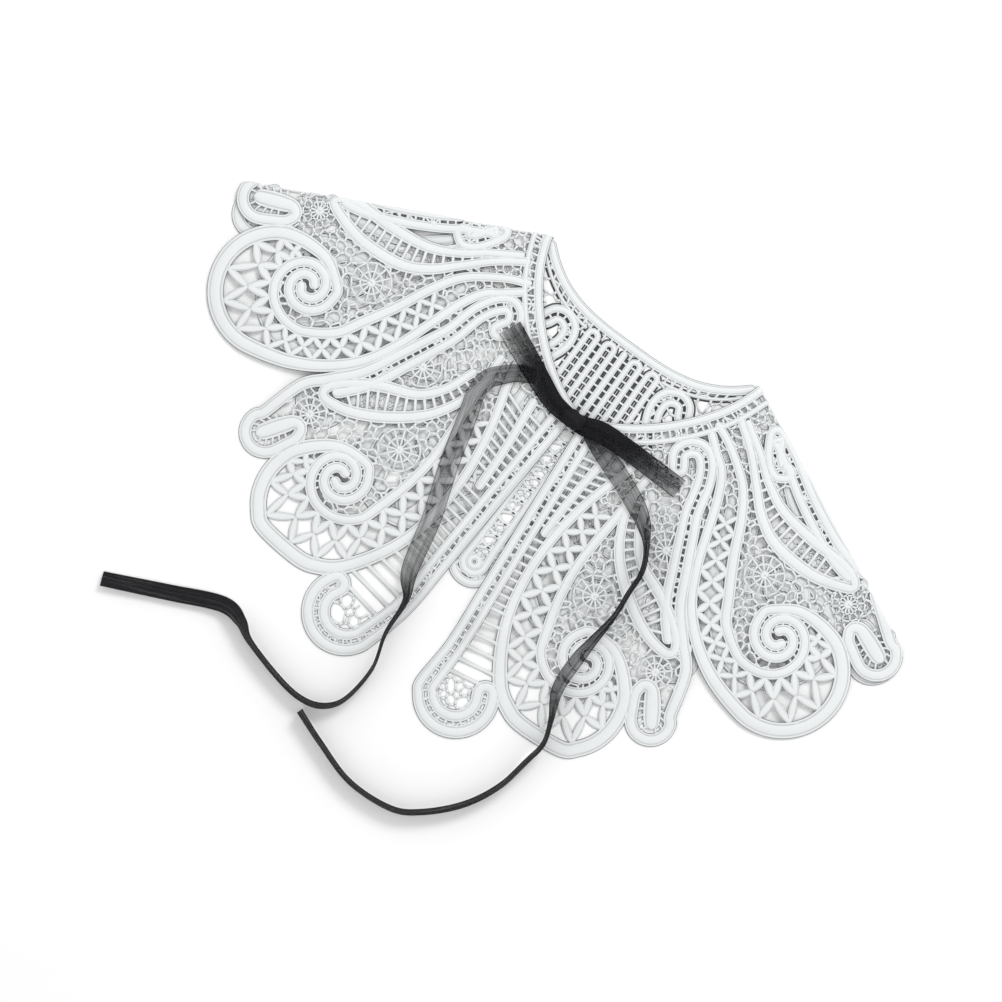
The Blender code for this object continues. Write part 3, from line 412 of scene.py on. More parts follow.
class Work:
    def __init__(self):
        self.places, self.quads, self.uvs, self.count, self.tapes = [], [], [], 0, []

    def add(self, places, quads, uvs):
        self.places.append(places)
        self.quads.append(np.asarray(quads) + self.count)
        self.uvs.append(uvs)
        self.count += len(places)

    def whole(self):
        return [np.vstack(rows) for rows in (self.places, self.quads, self.uvs)]

    def sweep(self, line, width, profile=TAPE_PROFILE, lift=0.0, low=1.0):
        """A closed tape along a line. Its width is one number, or one for each point."""
        half = np.broadcast_to(np.asarray(width, float) / 2, (len(line),))
        side = left_of(line)
        rows, ring = len(line), len(profile)
        within = np.clip(profile[:, 0], -1, 1)
        across = (half[:, None] * within + (profile[:, 0] - within))[:, :, None] * side[:, None, :]
        flat = (line[:, None, :2] + across).reshape(-1, 2)
        rise = (np.tile(profile[:, 1] * low, rows).reshape(rows, ring) + np.reshape(lift, (-1, 1))).ravel()
        along = np.concatenate([[0], np.cumsum(np.linalg.norm(np.diff(line[:, :2], axis=0), axis=1))])
        uvs = np.stack([np.repeat(along, ring) / 10, np.tile(profile[:, 0], rows) / 2 + 0.5], axis=1)
        row, point = np.meshgrid(np.arange(rows - 1), np.arange(ring), indexing="ij")
        beside = (point + 1) % ring
        first = row * ring
        corners = [first + point, first + ring + point, first + ring + beside, first + beside]
        quads = np.stack(corners, -1).reshape(-1, 4)
        pairs = [(i, i + 1, ring - 2 - i, ring - 1 - i) for i in range(ring // 2) if i + 1 < ring - 2 - i]
        if ring % 2:
            pairs.append((ring // 2 - 1, ring // 2, ring // 2 + 1, ring // 2 + 1))
        last = (rows - 1) * ring
        ends = [(c, b, a, a) if c == d else (d, c, b, a) for a, b, c, d in pairs]
        caps = pairs + [tuple(last + index for index in end) for end in ends]
        self.add(np.column_stack([flat, rise]), np.vstack([quads, np.array(caps)]), uvs)

    def tape(self, line, width=None, profile=TAPE_PROFILE):
        """A tape with rounded ends, which the net later joins on to."""
        if len(line) < 4:
            return
        if width is None:
            width = line[:, 2] if line.shape[1] > 2 else TAPE
        width = np.broadcast_to(np.asarray(width, float), (len(line),))
        self.tapes.append((line[:, :2], float(np.mean(width))))
        caps = []
        for tip, before, wide in ((line[0], line[2], width[0]), (line[-1], line[-3], width[-1])):
            forward = (tip - before)[:2] / np.linalg.norm((tip - before)[:2])
            caps.append([(tip[:2] + share * wide / 2 * forward, wide * math.sqrt(1 - share**2) + 0.15)
                         for share in (0.45, 0.8, 0.97)])
        whole = caps[0][::-1] + list(zip(line[:, :2], width)) + caps[1]
        self.sweep(np.array([place for place, _ in whole]), [wide for _, wide in whole], profile)

    def bars(self, starts, ends, width=1.1, height=0.42, waist=0.8, lift=0.0):
        """Many thin bars at once, each a little narrower at its middle."""
        starts, ends = np.atleast_2d(starts)[:, :2], np.atleast_2d(ends)[:, :2]
        run = ends - starts
        long = np.linalg.norm(run, axis=1)
        keep = long > 0.4
        if not keep.any():
            return
        width = np.broadcast_to(width, (len(keep),))[keep]
        starts, run, long = starts[keep], run[keep], long[keep]
        side = np.stack([-run[:, 1], run[:, 0]], axis=1) / long[:, None]
        places, uvs = [], []
        for share, wide in ((0.0, 1.0), (0.5, waist), (1.0, 1.0)):
            for across, rise in BAR_PROFILE:
                flat = starts + share * run + (across * wide / 2 * width)[:, None] * side
                places.append(np.column_stack([flat, np.full(len(flat), lift + rise * height)]))
                uvs.append(np.stack([share * long / 10, np.full(len(flat), across * 0.25 + 0.5)], axis=1))
        places, uvs = np.stack(places, axis=1), np.stack(uvs, axis=1)
        n = len(BAR_PROFILE)
        one = [(row + p, row + n + p, row + n + (p + 1) % n, row + (p + 1) % n)
               for row in (0, n) for p in range(n)]
        last = 2 * n
        one += [(0, 1, 2, 3), (0, 3, 4, 4)]
        one += [(last + 3, last + 2, last + 1, last), (last + 4, last + 3, last, last)]
        quads = (np.arange(len(run))[:, None, None] * 3 * n + np.array(one)[None]).reshape(-1, 4)
        self.add(places.reshape(-1, 3), quads, uvs.reshape(-1, 2))

    def leaf(self, start, end, width=3.4):
        """A leaf-shaped bar: full at its middle, narrow at both ends."""
        share = np.linspace(0, 1, 9)
        line = start + share[:, None] * (end - start)
        self.sweep(line, 1.2 + (width - 1.2) * np.sin(math.pi * share) ** 0.8, LEAF_PROFILE)


trial = Work()
trial.tape(smooth([(0, 0), (10, 4), (20, 0)]))
print("a short tape has", sum(len(quads) for quads in trial.quads), "faces")

# %% [markdown]
# ## Tapes side by side
# The fingers are worked with two tapes that run side by side and meet in a round end. Short bars join them,
# which leaves the row of small dark dashes that shows everywhere in this lace.

# %% Doubled tapes
def round_end(one, other, forward):
    """The points of a half turn from one place to another, bulging forward, with their widths."""
    middle, half = (one[:2] + other[:2]) / 2, (one[:2] - other[:2]) / 2
    out = forward[:2] / np.linalg.norm(forward[:2]) * np.linalg.norm(half)
    return [np.array([*(middle + math.cos(turn) * half + math.sin(turn) * out), one[2]])
            for turn in np.linspace(0.25, math.pi - 0.25, 5)]


def ladder(work, one, other, pitch=4.2, width=1.5, skip=1.5, keep=None):
    """Bars between two lines of the same number of points."""
    along = np.concatenate([[0], np.cumsum(np.linalg.norm(np.diff((one + other) / 2, axis=0), axis=1))])
    at = np.arange(skip, along[-1] - 0.5 * skip, pitch)
    starts, ends = (np.stack([np.interp(at, along, column) for column in line.T], axis=1)
                    for line in (one, other))
    if keep is not None:
        both = keep(starts) & keep(ends)
        starts, ends = starts[both], ends[both]
    work.bars(starts, ends, width=width, height=0.46)


def doubled(work, outer, side, gap=1.4, ends=(True, True), keep=None, turned=np.array, until=None, pitch=4.2,
            profile=TAPE_PROFILE):
    """Two tapes side by side, joined by bars and closed by round ends. The outer one is given with its widths.
    The inner one may stop before it."""
    beside = outer[:until, 2] + gap
    inner = np.column_stack([sideways(outer[:until], -side * beside), outer[:until, 2] * 0.94])
    start = round_end(inner[0], outer[0], outer[0] - outer[2]) if ends[0] else []
    if until:
        runs = [np.array(list(inner[::-1]) + start + list(outer))]
    else:
        end = round_end(outer[-1], inner[-1], outer[-1] - outer[-3]) if ends[1] else []
        runs = [np.array(start[2:] + list(outer) + end + list(inner[::-1]) + start[:3])]
    for run in runs:
        for part in kept_runs(evenly(turned(run), 1.7), keep):
            work.tape(part, profile=profile)
    lines = [turned(sideways(outer, -side * (outer[:, 2] / 2 + edge)))[:until] for edge in (-0.3, gap + 0.3)]
    ladder(work, *lines, pitch, keep=keep)


def split_runs(kept):
    """The slices over which a row of yes and no says yes."""
    edges = np.flatnonzero(np.diff(np.concatenate([[0], kept.astype(int), [0]])))
    return [slice(a, b) for a, b in zip(edges[::2], edges[1::2]) if b - a > 3]


def kept_runs(line, keep):
    return [line] if keep is None else [line[part] for part in split_runs(keep(line[:, :2]))]


trial_end = round_end(np.array([0, 0, TAPE]), np.array([0, 6.0, TAPE]), np.array([1.0, 0]))
print("round end:", len(trial_end), "points")

# %% [markdown]
# ## Open fillings
# Between the tapes come two open fillings: crossed leaves from each scroll to its border, and wheels, whose
# spokes run out from a small solid hub through two rings.

# %% Leaves, lattices and wheels
def crossed(work, one, other, reach, stops, keep):
    """Crossed leaves between two lines, and the area that they fill."""
    for a, b in zip(stops, stops[1:]):
        corners = np.array([one[a], one[b], other[a], other[b]])
        if keep(corners).all():
            for corner in corners:
                work.leaf(corners.mean(axis=0), corner, np.clip(0.3 * reach[a], 2.3, 4.6))
    return np.vstack([one, other[::-1]])


def across_to(points, line):
    """For each point the nearest place on a line."""
    near, off = nearest_on(points, line)
    return near[np.arange(len(points)), off.argmin(axis=1)]


def wheel(work, middle, radius, spokes=12):
    """A wheel: its spokes reach the first tape that they meet."""
    def blocked(points):
        hit = np.zeros(len(points), bool)
        for line, width in work.tapes:
            hit |= distance_to(points, line) < width / 2 - 0.6
        return hit

    turns = np.arange(spokes) / spokes * 2 * math.pi + 0.2
    rays = np.stack([np.cos(turns), np.sin(turns)], axis=1)
    reaches = np.full(spokes, radius)
    steps = np.arange(2.0, radius + 2.0, 0.5)
    for i, ray in enumerate(rays):
        hits = np.flatnonzero(blocked(middle + steps[:, None] * ray))
        reaches[i] = steps[hits[0]] if len(hits) else radius
    work.bars(np.tile(middle, (spokes, 1)), middle + reaches[:, None] * rays, 1.25)
    for share in (0.55, 0.98):
        ring = middle + share * radius * rays
        there = share * radius < reaches + 0.3
        pairs = [(i, (i + 1) % spokes) for i in range(spokes) if there[i] and there[(i + 1) % spokes]]
        if pairs:
            a, b = np.array(pairs).T
            work.bars(ring[a], ring[b], 1.2)
    work.sweep(circle(middle, 1.2, 10), 2.6, LEAF_PROFILE, 0.16)


print("a wheel has 12 spokes and two rings")

# %% [markdown]
# ## The net
# What is left between the tapes is filled with an uneven net. Its cells are those of scattered points, which
# gives the three-way joints of a worked net: each bar stands halfway between two neighbouring points.

# %% An uneven net
NET_JITTER, NET_DROPPED = 0.46, 0.16  # shares of the spacing, and of the points


def net(work, edge, zones, wheels, spacing=5.1, seed=3, keep=None, width=1.35):
    """Bars over all that is inside the edge and free of tapes, open fillings and wheels."""
    chance = np.random.default_rng(seed)
    low, high = edge.min(axis=0) - 6, edge.max(axis=0) + 6
    x, y = np.meshgrid(np.arange(low[0], high[0], spacing), np.arange(low[1], high[1], spacing * 0.87))
    x = x + (np.arange(len(x))[:, None] % 2) * spacing / 2
    jitter = chance.uniform(-NET_JITTER, NET_JITTER, (x.size, 2)) * spacing
    points = np.stack([x.ravel(), y.ravel()], axis=1) + jitter
    points = points[chance.random(len(points)) > NET_DROPPED]
    flat, _, faces, *_ = delaunay_2d_cdt(points.tolist(), [], [], 0, 1e-6, True)
    flat, faces = np.array([tuple(p) for p in flat]), np.array(faces)
    middles = flat[faces].mean(axis=1)
    owner, starts, ends = {}, [], []
    for index, face in enumerate(faces):
        for i in range(3):
            pair = (face[i], face[i - 2])
            if pair[::-1] in owner:
                starts.append(owner[pair[::-1]])
                ends.append(index)
            owner[pair] = index
    on_tape = np.zeros(len(middles), bool)
    for line, wide in work.tapes:
        near = (middles > line.min(axis=0) - wide).all(axis=1) & (middles < line.max(axis=0) + wide).all(axis=1)
        on_tape[near] |= distance_to(middles[near], line) < wide / 2 - 0.3
    allowed = inside(middles, edge)
    for zone in zones:
        allowed &= ~inside(middles, zone) | on_tape
    for middle, radius in wheels:
        allowed &= (np.linalg.norm(middles - middle, axis=1) > radius * 0.97) | on_tape
    if keep is not None:
        allowed &= keep(middles)
    starts, ends = np.array(starts), np.array(ends)
    good = allowed[starts] & allowed[ends] & ~(on_tape[starts] & on_tape[ends])
    work.bars(middles[starts[good]], middles[ends[good]], width * chance.uniform(0.8, 1.25, good.sum()), 0.42)
    return good.sum()


print("the net's cells are about 5 mm across")

# %% [markdown]
# ## Working a repeat
# A repeat is worked in the order of the real thing: the tapes, the fillings that belong to them, and then
# the net over what is left.

# %% Work one repeat
def local_line(place, points):
    return smooth([moved(place, *point) for point in points], 1.0)


def work_repeat(work, repeat, turned, keep, first_depth=0.0):
    """Adds a repeat's tapes and fillings, and gives the zones that they fill and its wheels."""
    panel = repeat.panel

    def here(points):
        drawn = mirrored(points) if turned is mirrored else points
        depth = np.linalg.norm(drawn - panel.centre, axis=1) - panel.neck
        return keep(points) & (depth > first_depth)

    outline, scroll = repeat.outline(), repeat.scroll_tape()
    tear = smooth(repeat.run("teardrop"))
    for line in (outline, scroll, tear):
        for part in kept_runs(turned(line), here):
            work.tape(part)
    finger = repeat.finger()
    depth = np.linalg.norm(finger[:, :2] - panel.centre, axis=1) - panel.neck
    doubled(work, finger, 1, 1.2, keep=here, turned=turned, until=np.flatnonzero(depth > FINGER_DOUBLED)[0])
    slots = [turned(local_line(repeat.tip, points)) for points in FINGER_SLOTS]
    for one, other in (slots[:2], slots[2:]):
        one, other = (evenly(line, length_of(line) / 24) for line in (one, other))
        ladder(work, one, other, 3.7, 1.3, keep=here)
    for first in (-90, 90):
        ladder(work, *(turned(line) for line in repeat.spiral_gap(first)), 3.6, 1.3, keep=here)
    zones = [turned(repeat.finger_area()), turned(tear[:, :2])]
    zones.append(turned(np.array([around(repeat.scroll, 13, 13, turn) for turn in range(0, 360, 20)])))
    one, other = tear[: len(tear) // 2, :2], tear[len(tear) // 2 :, :2]
    ladder(work, turned(one), turned(across_to(one, other)), 5.0, 2.0, keep=here)
    one, other, reach, stops = repeat.lattice()
    zones.append(crossed(work, turned(one), turned(other), reach, stops, here))
    wheels = [(turned(repeat.at(share, depth)), radius) for share, depth, radius in repeat.runs["wheels"]]
    wheels = [(middle, radius) for middle, radius in wheels if here(middle[None])[0]]
    return zones, wheels


print("bars in a finger's slots:", sum(len(line) for line in FINGER_SLOTS[::2]), "places")

# %% [markdown]
# ## A front
# A front has two whole repeats. Along its centre edge two tapes run side by side down to the hem, where
# they turn round the widest finger. A plain band goes along the neck, with a row of small square holes.

# %% Work a front, drawn as the right one
EDGE_PAIR = 7.4  # from the centre edge to the inner edge of its second tape
WEDGE = ((13, 17.5), (24, 14.6), (36, 12.2), (50, 10.4), (62, 9.4))  # depth and turn of a tape beside the pair


def work_front(fingers, edge_turn, seed):
    work = Work()
    panel = Panel(np.zeros(2), FRONT_NECK, True)
    repeats = [Repeat(panel, *fingers[:2], INNER_LOBE, INNER_RUNS),
               Repeat(panel, *fingers[1:], OUTER_LOBE, OUTER_RUNS)]

    def keep(points):
        return past_fold(points) < FOLD_LENGTH - 0.4

    tip = panel.axes(fingers[0], 158)
    centre_edge = [panel.axes(edge_turn, depth)[0] for depth in (3, 35, 70, 105, 135)]
    outer = smooth(centre_edge + [around(tip, 19.5, 19.5, turn) for turn in range(175, -30, -20)])
    turned_in = (np.arange(len(outer)) / len(outer) - 0.55) / 0.3
    outer = np.column_stack([outer, TAPE + 2.2 * eased(turned_in)])
    doubled(work, outer, -1, 1.5, (False, True))
    shares, depths, _ = np.array(repeats[0].runs["outline"]).T

    def at_edge(depths_down):
        return np.array([panel.axes(edge_turn + math.degrees(EDGE_PAIR / (panel.neck + depth)), depth)[0]
                         for depth in depths_down])

    def at_outline(depths_down):
        return np.array([repeats[0].at(np.interp(depth, depths, shares), depth) for depth in depths_down])

    def at_wedge(depths_down):
        wedge_depths, turns = zip(*WEDGE)
        return np.array([panel.axes(np.interp(depth, wedge_depths, turns), depth)[0] for depth in depths_down])

    work.tape(smooth(at_wedge(np.arange(13, 63, 7))), 5.0)
    for one, other, start, end, pitch in ((at_edge, at_wedge, 17, 60, 4.6), (at_wedge, at_outline, 20, 56, 4.6),
                                          (at_edge, at_outline, 66, 108, 4.8),
                                          (at_edge, at_outline, 108, 150, 7.8)):
        down = np.linspace(start, end, 30)
        ladder(work, one(down), other(down), pitch, 2.0 if pitch < 6 else 2.5)
    down = np.linspace(15, 150, 40)
    zones, wheels = [np.vstack([at_edge(down), at_outline(down)[::-1]])], []
    for repeat in repeats:
        more_zones, more_wheels = work_repeat(work, repeat, np.array, keep)
        zones += more_zones
        wheels += more_wheels
    band = neck_line(panel, edge_turn - 1.5, 94, BAND / 2)
    second = neck_line(panel, edge_turn + 4, 88, BAND + 4.6)
    for line, width in ((band, BAND), (second, 3.0)):
        for part in kept_runs(evenly(line, 1.7), keep):
            work.tape(part, width)
    under_band = neck_line(panel, edge_turn + 4, 88, BAND / 2)
    one, other = (evenly(line, length_of(line) / 60) for line in (under_band, second))
    ladder(work, one, other, 4.3, 1.5)
    for middle, radius in wheels:
        wheel(work, middle, radius)
    hem = repeats[0].hem() + repeats[1].hem()
    past = 9 * FOLD_OUT
    neck = neck_line(panel, edge_turn, 88, 3)[::-1]
    edge = np.array([*outer[:, :2], *hem, hem[-1] + past, SHOULDER + past, *neck])
    count = net(work, edge, zones, wheels, seed=seed, keep=keep)
    limit = np.array([SHOULDER + (FOLD_LENGTH - 0.6) * FOLD_OUT + along * FOLD_ALONG for along in (1, 152)])
    work.sweep(evenly(limit, 3), 1.2, BAR_PROFILE, 0, 0.45)
    print("bars in the net:", count, " points:", work.count)
    work.edge = edge
    return work


right_front, left_front = work_front(RIGHT_FINGERS, 4.2, 3), work_front(LEFT_FINGERS, 3.8, 8)

# %% [markdown]
# ## The back
# The back has the same repeats, four of them, and along its neck a fringe of narrow tapes that run up, turn
# over and come down again, between two scroll hooks.

# %% Work the back
NECK_DROP, NECK_ROUNDNESS = 20.0, 3.2
HAIRPINS, HAIRPIN_HALF, HAIRPIN_ROUND, HAIRPIN_LONG = (8.2, 19.0), 2.75, 2.6, 44
HOLES_BELOW = 3.6  # from the band to the middle of the thin tape below its row of holes
BACK_MIDDLE_TAPE = ((7.0, -70), (6.0, -95), (5.4, -125), (5.4, -148))
RING = 2.6
NECK_HOOK = ((37, -60), (30, -50), (26.6, -40), (28.6, -31), (36, -26.6), (43, -28.6), (46.5, -34.5))


def neck_height(x):
    return -NECK_DROP * (1 - np.abs(np.asarray(x, float) / SHOULDER_X) ** NECK_ROUNDNESS)


def work_back():
    work = Work()
    panel = Panel(BACK_CENTRE, BACK_NECK, False)

    def keep(points):
        return np.maximum(past_fold(points), past_fold(mirrored(points))) < -0.3

    repeats = [Repeat(panel, *BACK_FINGERS[i : i + 2], BACK_LOBE, BACK_RUNS) for i in (0, 1)]
    zones, wheels = [], []
    for repeat in repeats:
        for turned in (np.array, mirrored):
            more_zones, more_wheels = work_repeat(work, repeat, turned, keep, 46)
            zones += more_zones
            wheels += more_wheels
    tip = panel.axes(0, FINGER_DEPTH - 4)
    arc = [around(tip, FINGER_RADIUS, FINGER_RADIUS, turn) for turn in range(200, -21, -20)]
    work.tape(smooth(arc), TAPE)
    work.tape(circle(tip[0], RING, 18), 3.6)
    inner_arc = [around(tip, FINGER_RADIUS - 5.2, FINGER_RADIUS - 5.2, turn) for turn in range(180, -1, -20)]
    sides = [np.array([(side * x, y) for x, y in BACK_MIDDLE_TAPE]) for side in (-1, 1)]
    work.tape(smooth([*sides[0], *inner_arc, *sides[1][::-1]]), 4.4)
    rungs = np.arange(-74, tip[0][1] + 6, -7.4)
    x_at = np.interp(-rungs, -sides[1][:, 1], sides[1][:, 0])
    for side, slope in ((-1, 5.5), (1, 3.0)):
        work.bars(np.stack([-side * x_at, rungs], 1), np.stack([side * x_at, rungs - slope], 1), 2.0, 0.5)
    x = np.linspace(-SHOULDER_X + 1, SHOULDER_X - 1, 90)
    band = np.stack([x, neck_height(x) - BAND / 2], axis=1)
    for part in kept_runs(band, keep):
        work.tape(part, BAND)
    for side in (-1, 1):
        for at in HAIRPINS:
            top = neck_height(at) - BAND - 4.6
            legs = [(at - HAIRPIN_HALF, top), (at + HAIRPIN_HALF, top)]
            low = [(1.06 * foot - 0.4, top - HAIRPIN_LONG) for foot, _ in legs]
            line = [low[0], (legs[0][0], top - 12), legs[0]] + [
                (at - HAIRPIN_HALF * math.cos(turn), top + HAIRPIN_ROUND * math.sin(turn))
                for turn in np.linspace(0.5, 2.64, 5)
            ] + [legs[1], (legs[1][0], top - 12), low[1]]
            line = smooth(np.array(line) * (side, 1))
            # the fringe's tapes carry wide flanges painted near black, as painted shade in the slots between
            # them
            work.tape(line, 3.3, SHADE_FLANGE_PROFILE)
            half = len(line) // 2
            ladder(work, line[2:half - 2], line[::-1][2:half - 2], 4.2, 1.3)
    columns = [0.0] + [at + side * HAIRPIN_HALF for at in HAIRPINS for side in (-1, 1)] + [24.5]
    for one, other in ((0, 1), (2, 3), (4, 5)):
        for side in (-1, 1):
            for row in range(9):
                y = neck_height(columns[one]) - BAND - 6 - 4.5 * row
                scale = 1 + 0.012 * row / 4
                work.bars((side * columns[one] * scale, y), (side * columns[other] * scale, y), 1.4, 0.6)
    for side in (-1, 1):
        hook = smooth([(side * x, y, 4.2) for x, y in NECK_HOOK])
        # the hooks and the middle tape carry the same near-black flanges of painted shade
        doubled(work, hook, side, 1.5, (False, True), keep, profile=SHADE_FLANGE_PROFILE)
    work.tape(evenly(np.array([(0, -27.5), (0, -72.0)]), 2), 3.6, SHADE_FLANGE_PROFILE)
    for spot in np.arange(-58, 59, 4.4):
        y = neck_height(spot)
        work.bars((spot, y - BAND / 2), (spot * 0.985, y - BAND - HOLES_BELOW), 1.6, 0.46)
    lower = np.stack([x * 0.985, neck_height(x) - BAND - HOLES_BELOW], axis=1)
    # the thin tape below the row of holes also carries near-black flanges of painted shade
    for part in split_runs(keep(lower) & (np.abs(x) > 24)):
        work.tape(lower[part], 1.8, SHADE_FLANGE_PROFILE)
    for middle, radius in wheels:
        wheel(work, middle, radius)
    half = [around(tip, FINGER_RADIUS, FINGER_RADIUS, turn) for turn in range(90, -16, -26)]
    half += repeats[0].hem() + repeats[1].hem()
    half.append(half[-1] + np.array([6.0, 6.0]))
    neck = np.stack([x, neck_height(x) - 2], axis=1)
    edge = np.array([mirrored(point) for point in half[::-1]] + half[1:] + list(neck[::-1]))
    fringe = np.array([(-25, -24), (25, -24), (27, -66), (-27, -66)], float)
    count = net(work, edge, zones + [fringe], wheels, seed=5, keep=keep)
    for turned in (np.array, mirrored):
        ends = [SHOULDER - 0.9 * FOLD_OUT + along * FOLD_ALONG for along in (2, 128)]
        work.sweep(evenly(turned(ends), 3), 1.2, BAR_PROFILE, 0, 0.45)
    print("bars in the net:", count, " points:", work.count)
    work.edge = edge
    return work


back_work = work_back()

# %% [markdown]
# ## Laying the cloth out
# The flat work now gets its place: the back lies on the table, and the fronts lie over it in soft waves,
# come down to the table past the back's hem, and roll round the shoulder folds to meet the back's edges.

# %% Waves and folds
# turn at the neck and at the hem, height and half width, and the depths between which the wave stands
RIGHT_WAVES = ((8.5, 6.5, 3.0, 9, 10, 150), (21, 12.5, 2.2, 12, 8, 120), (34, 22, 1.8, 22, 30, 163),
               (52, 37, 1.6, 22, 20, 150), (68, 52, 2.0, 26, 30, 175))
LEFT_WAVES = ((7.0, 6.0, 4.2, 10, 10, 130), (24, 15, 1.6, 13, 8, 110), (36, 25, 1.8, 22, 30, 163),
              (56, 40, 2.0, 22, 20, 150), (70, 56, 1.6, 24, 30, 175))
BACK_REACH, FALL, NEAR_FOLD = BACK_NECK + 162, 28, 24


def front_height(points, waves):
    beyond = np.linalg.norm(points - BACK_CENTRE, axis=1) - BACK_REACH
    height = FRONT_MIDDLE + (BACK_MIDDLE - FRONT_MIDDLE) * eased(beyond / FALL)
    reach = np.linalg.norm(points, axis=1)
    turn = np.degrees(np.arctan2(points[:, 0], -points[:, 1]))
    depth = reach - FRONT_NECK
    level = eased(-past_fold(points) / NEAR_FOLD)
    for at_neck, at_hem, rise, half_width, start, end in waves:
        line = at_hem + (at_neck - at_hem) * np.clip(1 - depth / DEPTH, 0, 1) ** 1.5
        off = np.radians(turn - line) * reach
        ends = eased((depth - start) / 30) * eased((end - depth) / 40)
        height += rise * swell(off / half_width) * ends * level
    return height


def rolled(points, heights, lifts):
    past = past_fold(points)
    turn = np.clip(past / FOLD_RADIUS, 0, math.pi)
    foot = points - np.maximum(past, 0)[:, None] * FOLD_OUT
    out = (FOLD_RADIUS + lifts) * np.sin(turn)
    z = np.where(past > 0, heights - FOLD_RADIUS + (FOLD_RADIUS + lifts) * np.cos(turn), heights + lifts)
    return np.column_stack([foot + np.where(past > 0, out, 0)[:, None] * FOLD_OUT, z])


def lace_object(name, places, quads, uvs, mirror=False):
    """One mesh from all of a panel's threads."""
    mesh = bpy.data.meshes.new(name)
    faces = [tuple(quad) if quad[2] != quad[3] else tuple(quad[:3]) for quad in quads.tolist()]
    if mirror:
        places = places * (-1, 1, 1)
        faces = [face[::-1] for face in faces]
    mesh.from_pydata(((places / 1000) + (*SHIFT, 0)).tolist(), [], faces)
    layer = mesh.uv_layers.new(name="thread")
    corner = np.empty(len(mesh.loops), dtype=np.int32)
    mesh.loops.foreach_get("vertex_index", corner)
    layer.data.foreach_set("uv", uvs[corner].ravel())
    mesh.polygons.foreach_set("use_smooth", [True] * len(mesh.polygons))
    obj = bpy.data.objects.new(name, mesh)
    bpy.context.scene.collection.objects.link(obj)
    return obj


def laid_front(name, work, waves, left):
    places, quads, uvs = work.whole()
    laid = rolled(places[:, :2], front_height(places[:, :2], waves), places[:, 2])
    return lace_object(name, laid, quads, uvs, left)


def laid_back(name, work):
    places, quads, uvs = work.whole()
    laid = np.column_stack([places[:, :2], BACK_MIDDLE + places[:, 2]])
    return lace_object(name, laid, quads, uvs)


lace = {
    "collar_back": laid_back("lace_back", back_work),
    "collar_front_left": laid_front("lace_front_left", left_front, LEFT_WAVES, True),
    "collar_front_right": laid_front("lace_front_right", right_front, RIGHT_WAVES, False),
}
for node, piece in lace.items():
    print(piece.name, "faces:", len(piece.data.polygons))


# %% [markdown]
# ## The ribbon
# The ribbon is organza, a thin sheer cloth with firm edges, tied in a flat bow. Each loop is one strip that
# runs out from the knot, turns over at its end and comes back on top of itself. The two free ends run over the
# lace and on to the table, where they stand on edge for most of the way. A strip follows a path with a width
# and a twist at each place, and lies on whatever is under it.

# %% The ribbon's tables
CLEAR, LAYER_STEP = 0.4, 0.8
# x and y of a loop's middle, its width, and how closely the cloth is bunched, from sheer to opaque
LEFT_LOOP = ((-4.6, -70.4, 9.2, 1), (-9, -70, 9.4, 1), (-14, -69.3, 9.8, 0.97), (-20, -67.3, 10.6, 0.9),
             (-31, -62.5, 11.8, 0.68), (-43, -57, 12.4, 0.42), (-56, -51.2, 12.6, 0.3))
RIGHT_LOOP = ((1.4, -70.2, 9.4, 1), (5.5, -69.6, 10.4, 1), (11, -68, 11.2, 0.98), (17, -66.8, 11.2, 0.9),
              (35, -66.5, 10.7, 0.66), (50, -66.8, 10.7, 0.42), (63.5, -67.2, 10.8, 0.3))
# x and y of a free end's middle, how far it is turned on edge, its width, and how closely it is bunched
LEFT_TAIL = ((-31, -63.5, 0, 8.4, 0.7), (-39.4, -67.9, 0, 9.2, 0.62), (-44.5, -72.5, 4, 9.8, 0.55),
             (-50, -79.5, 10, 10.4, 0.5), (-50.5, -89, 18, 10.4, 0.5), (-47, -101, 12, 10.4, 0.45),
             (-41, -124, 8, 10.4, 0.42), (-35.5, -141, 8, 10.4, 0.4), (-30.5, -157, 8, 10.4, 0.42),
             (-24.5, -183, 30, 10.4, 0.6), (-17, -197, 70, 10.4, 1), (-15.5, -217, 78, 10.4, 1),
             (-10.5, -236, 79, 10.4, 1), (-12.5, -257, 78, 10.4, 1), (-20.5, -267, 76, 10.4, 1),
             (-33, -270, 78, 10.4, 1), (-50, -267.5, 79, 10.4, 1), (-70.5, -261.5, 77, 10.4, 1),
             (-80, -256, 60, 10.4, 1), (-93, -254.5, 30, 9.4, 1), (-119, -266, 20, 8.8, 1),
             (-151.5, -280.5, 30, 8.6, 1))
RIGHT_TAIL = ((9, -71.5, 0, 7, 0.9), (17, -74, 2, 9.4, 0.7), (27.5, -77.6, 4, 10.4, 0.55),
              (38, -81.5, 8, 10.4, 0.5), (49, -86.5, 16, 10.4, 0.55), (58.5, -92, 44, 10.4, 0.7),
              (67, -101, 74, 10.4, 0.95), (73, -113, 78, 10.4, 1), (74, -126, 79, 10.4, 1),
              (75, -140, 78, 10.4, 1), (73.5, -156, 66, 10.4, 0.85), (72.5, -170, 52, 10.4, 0.6),
              (73.5, -188, 56, 10.4, 0.65), (80, -203, 76, 10.4, 1), (84, -215, 79, 10.4, 1),
              (82.5, -227, 79, 10.4, 1), (79, -246, 78, 10.4, 1), (69.5, -264.5, 77, 10.4, 1),
              (54, -281, 78, 10.4, 1), (39.5, -289, 79, 10.4, 1), (14, -290, 80, 10.4, 1),
              (-10.5, -282.5, 79, 10.4, 1), (-28, -275.5, 77, 10.4, 1))
FRONTS = ((right_front.edge, RIGHT_WAVES, False), (left_front.edge, LEFT_WAVES, True))
print("places along the free ends:", len(LEFT_TAIL), "and", len(RIGHT_TAIL))


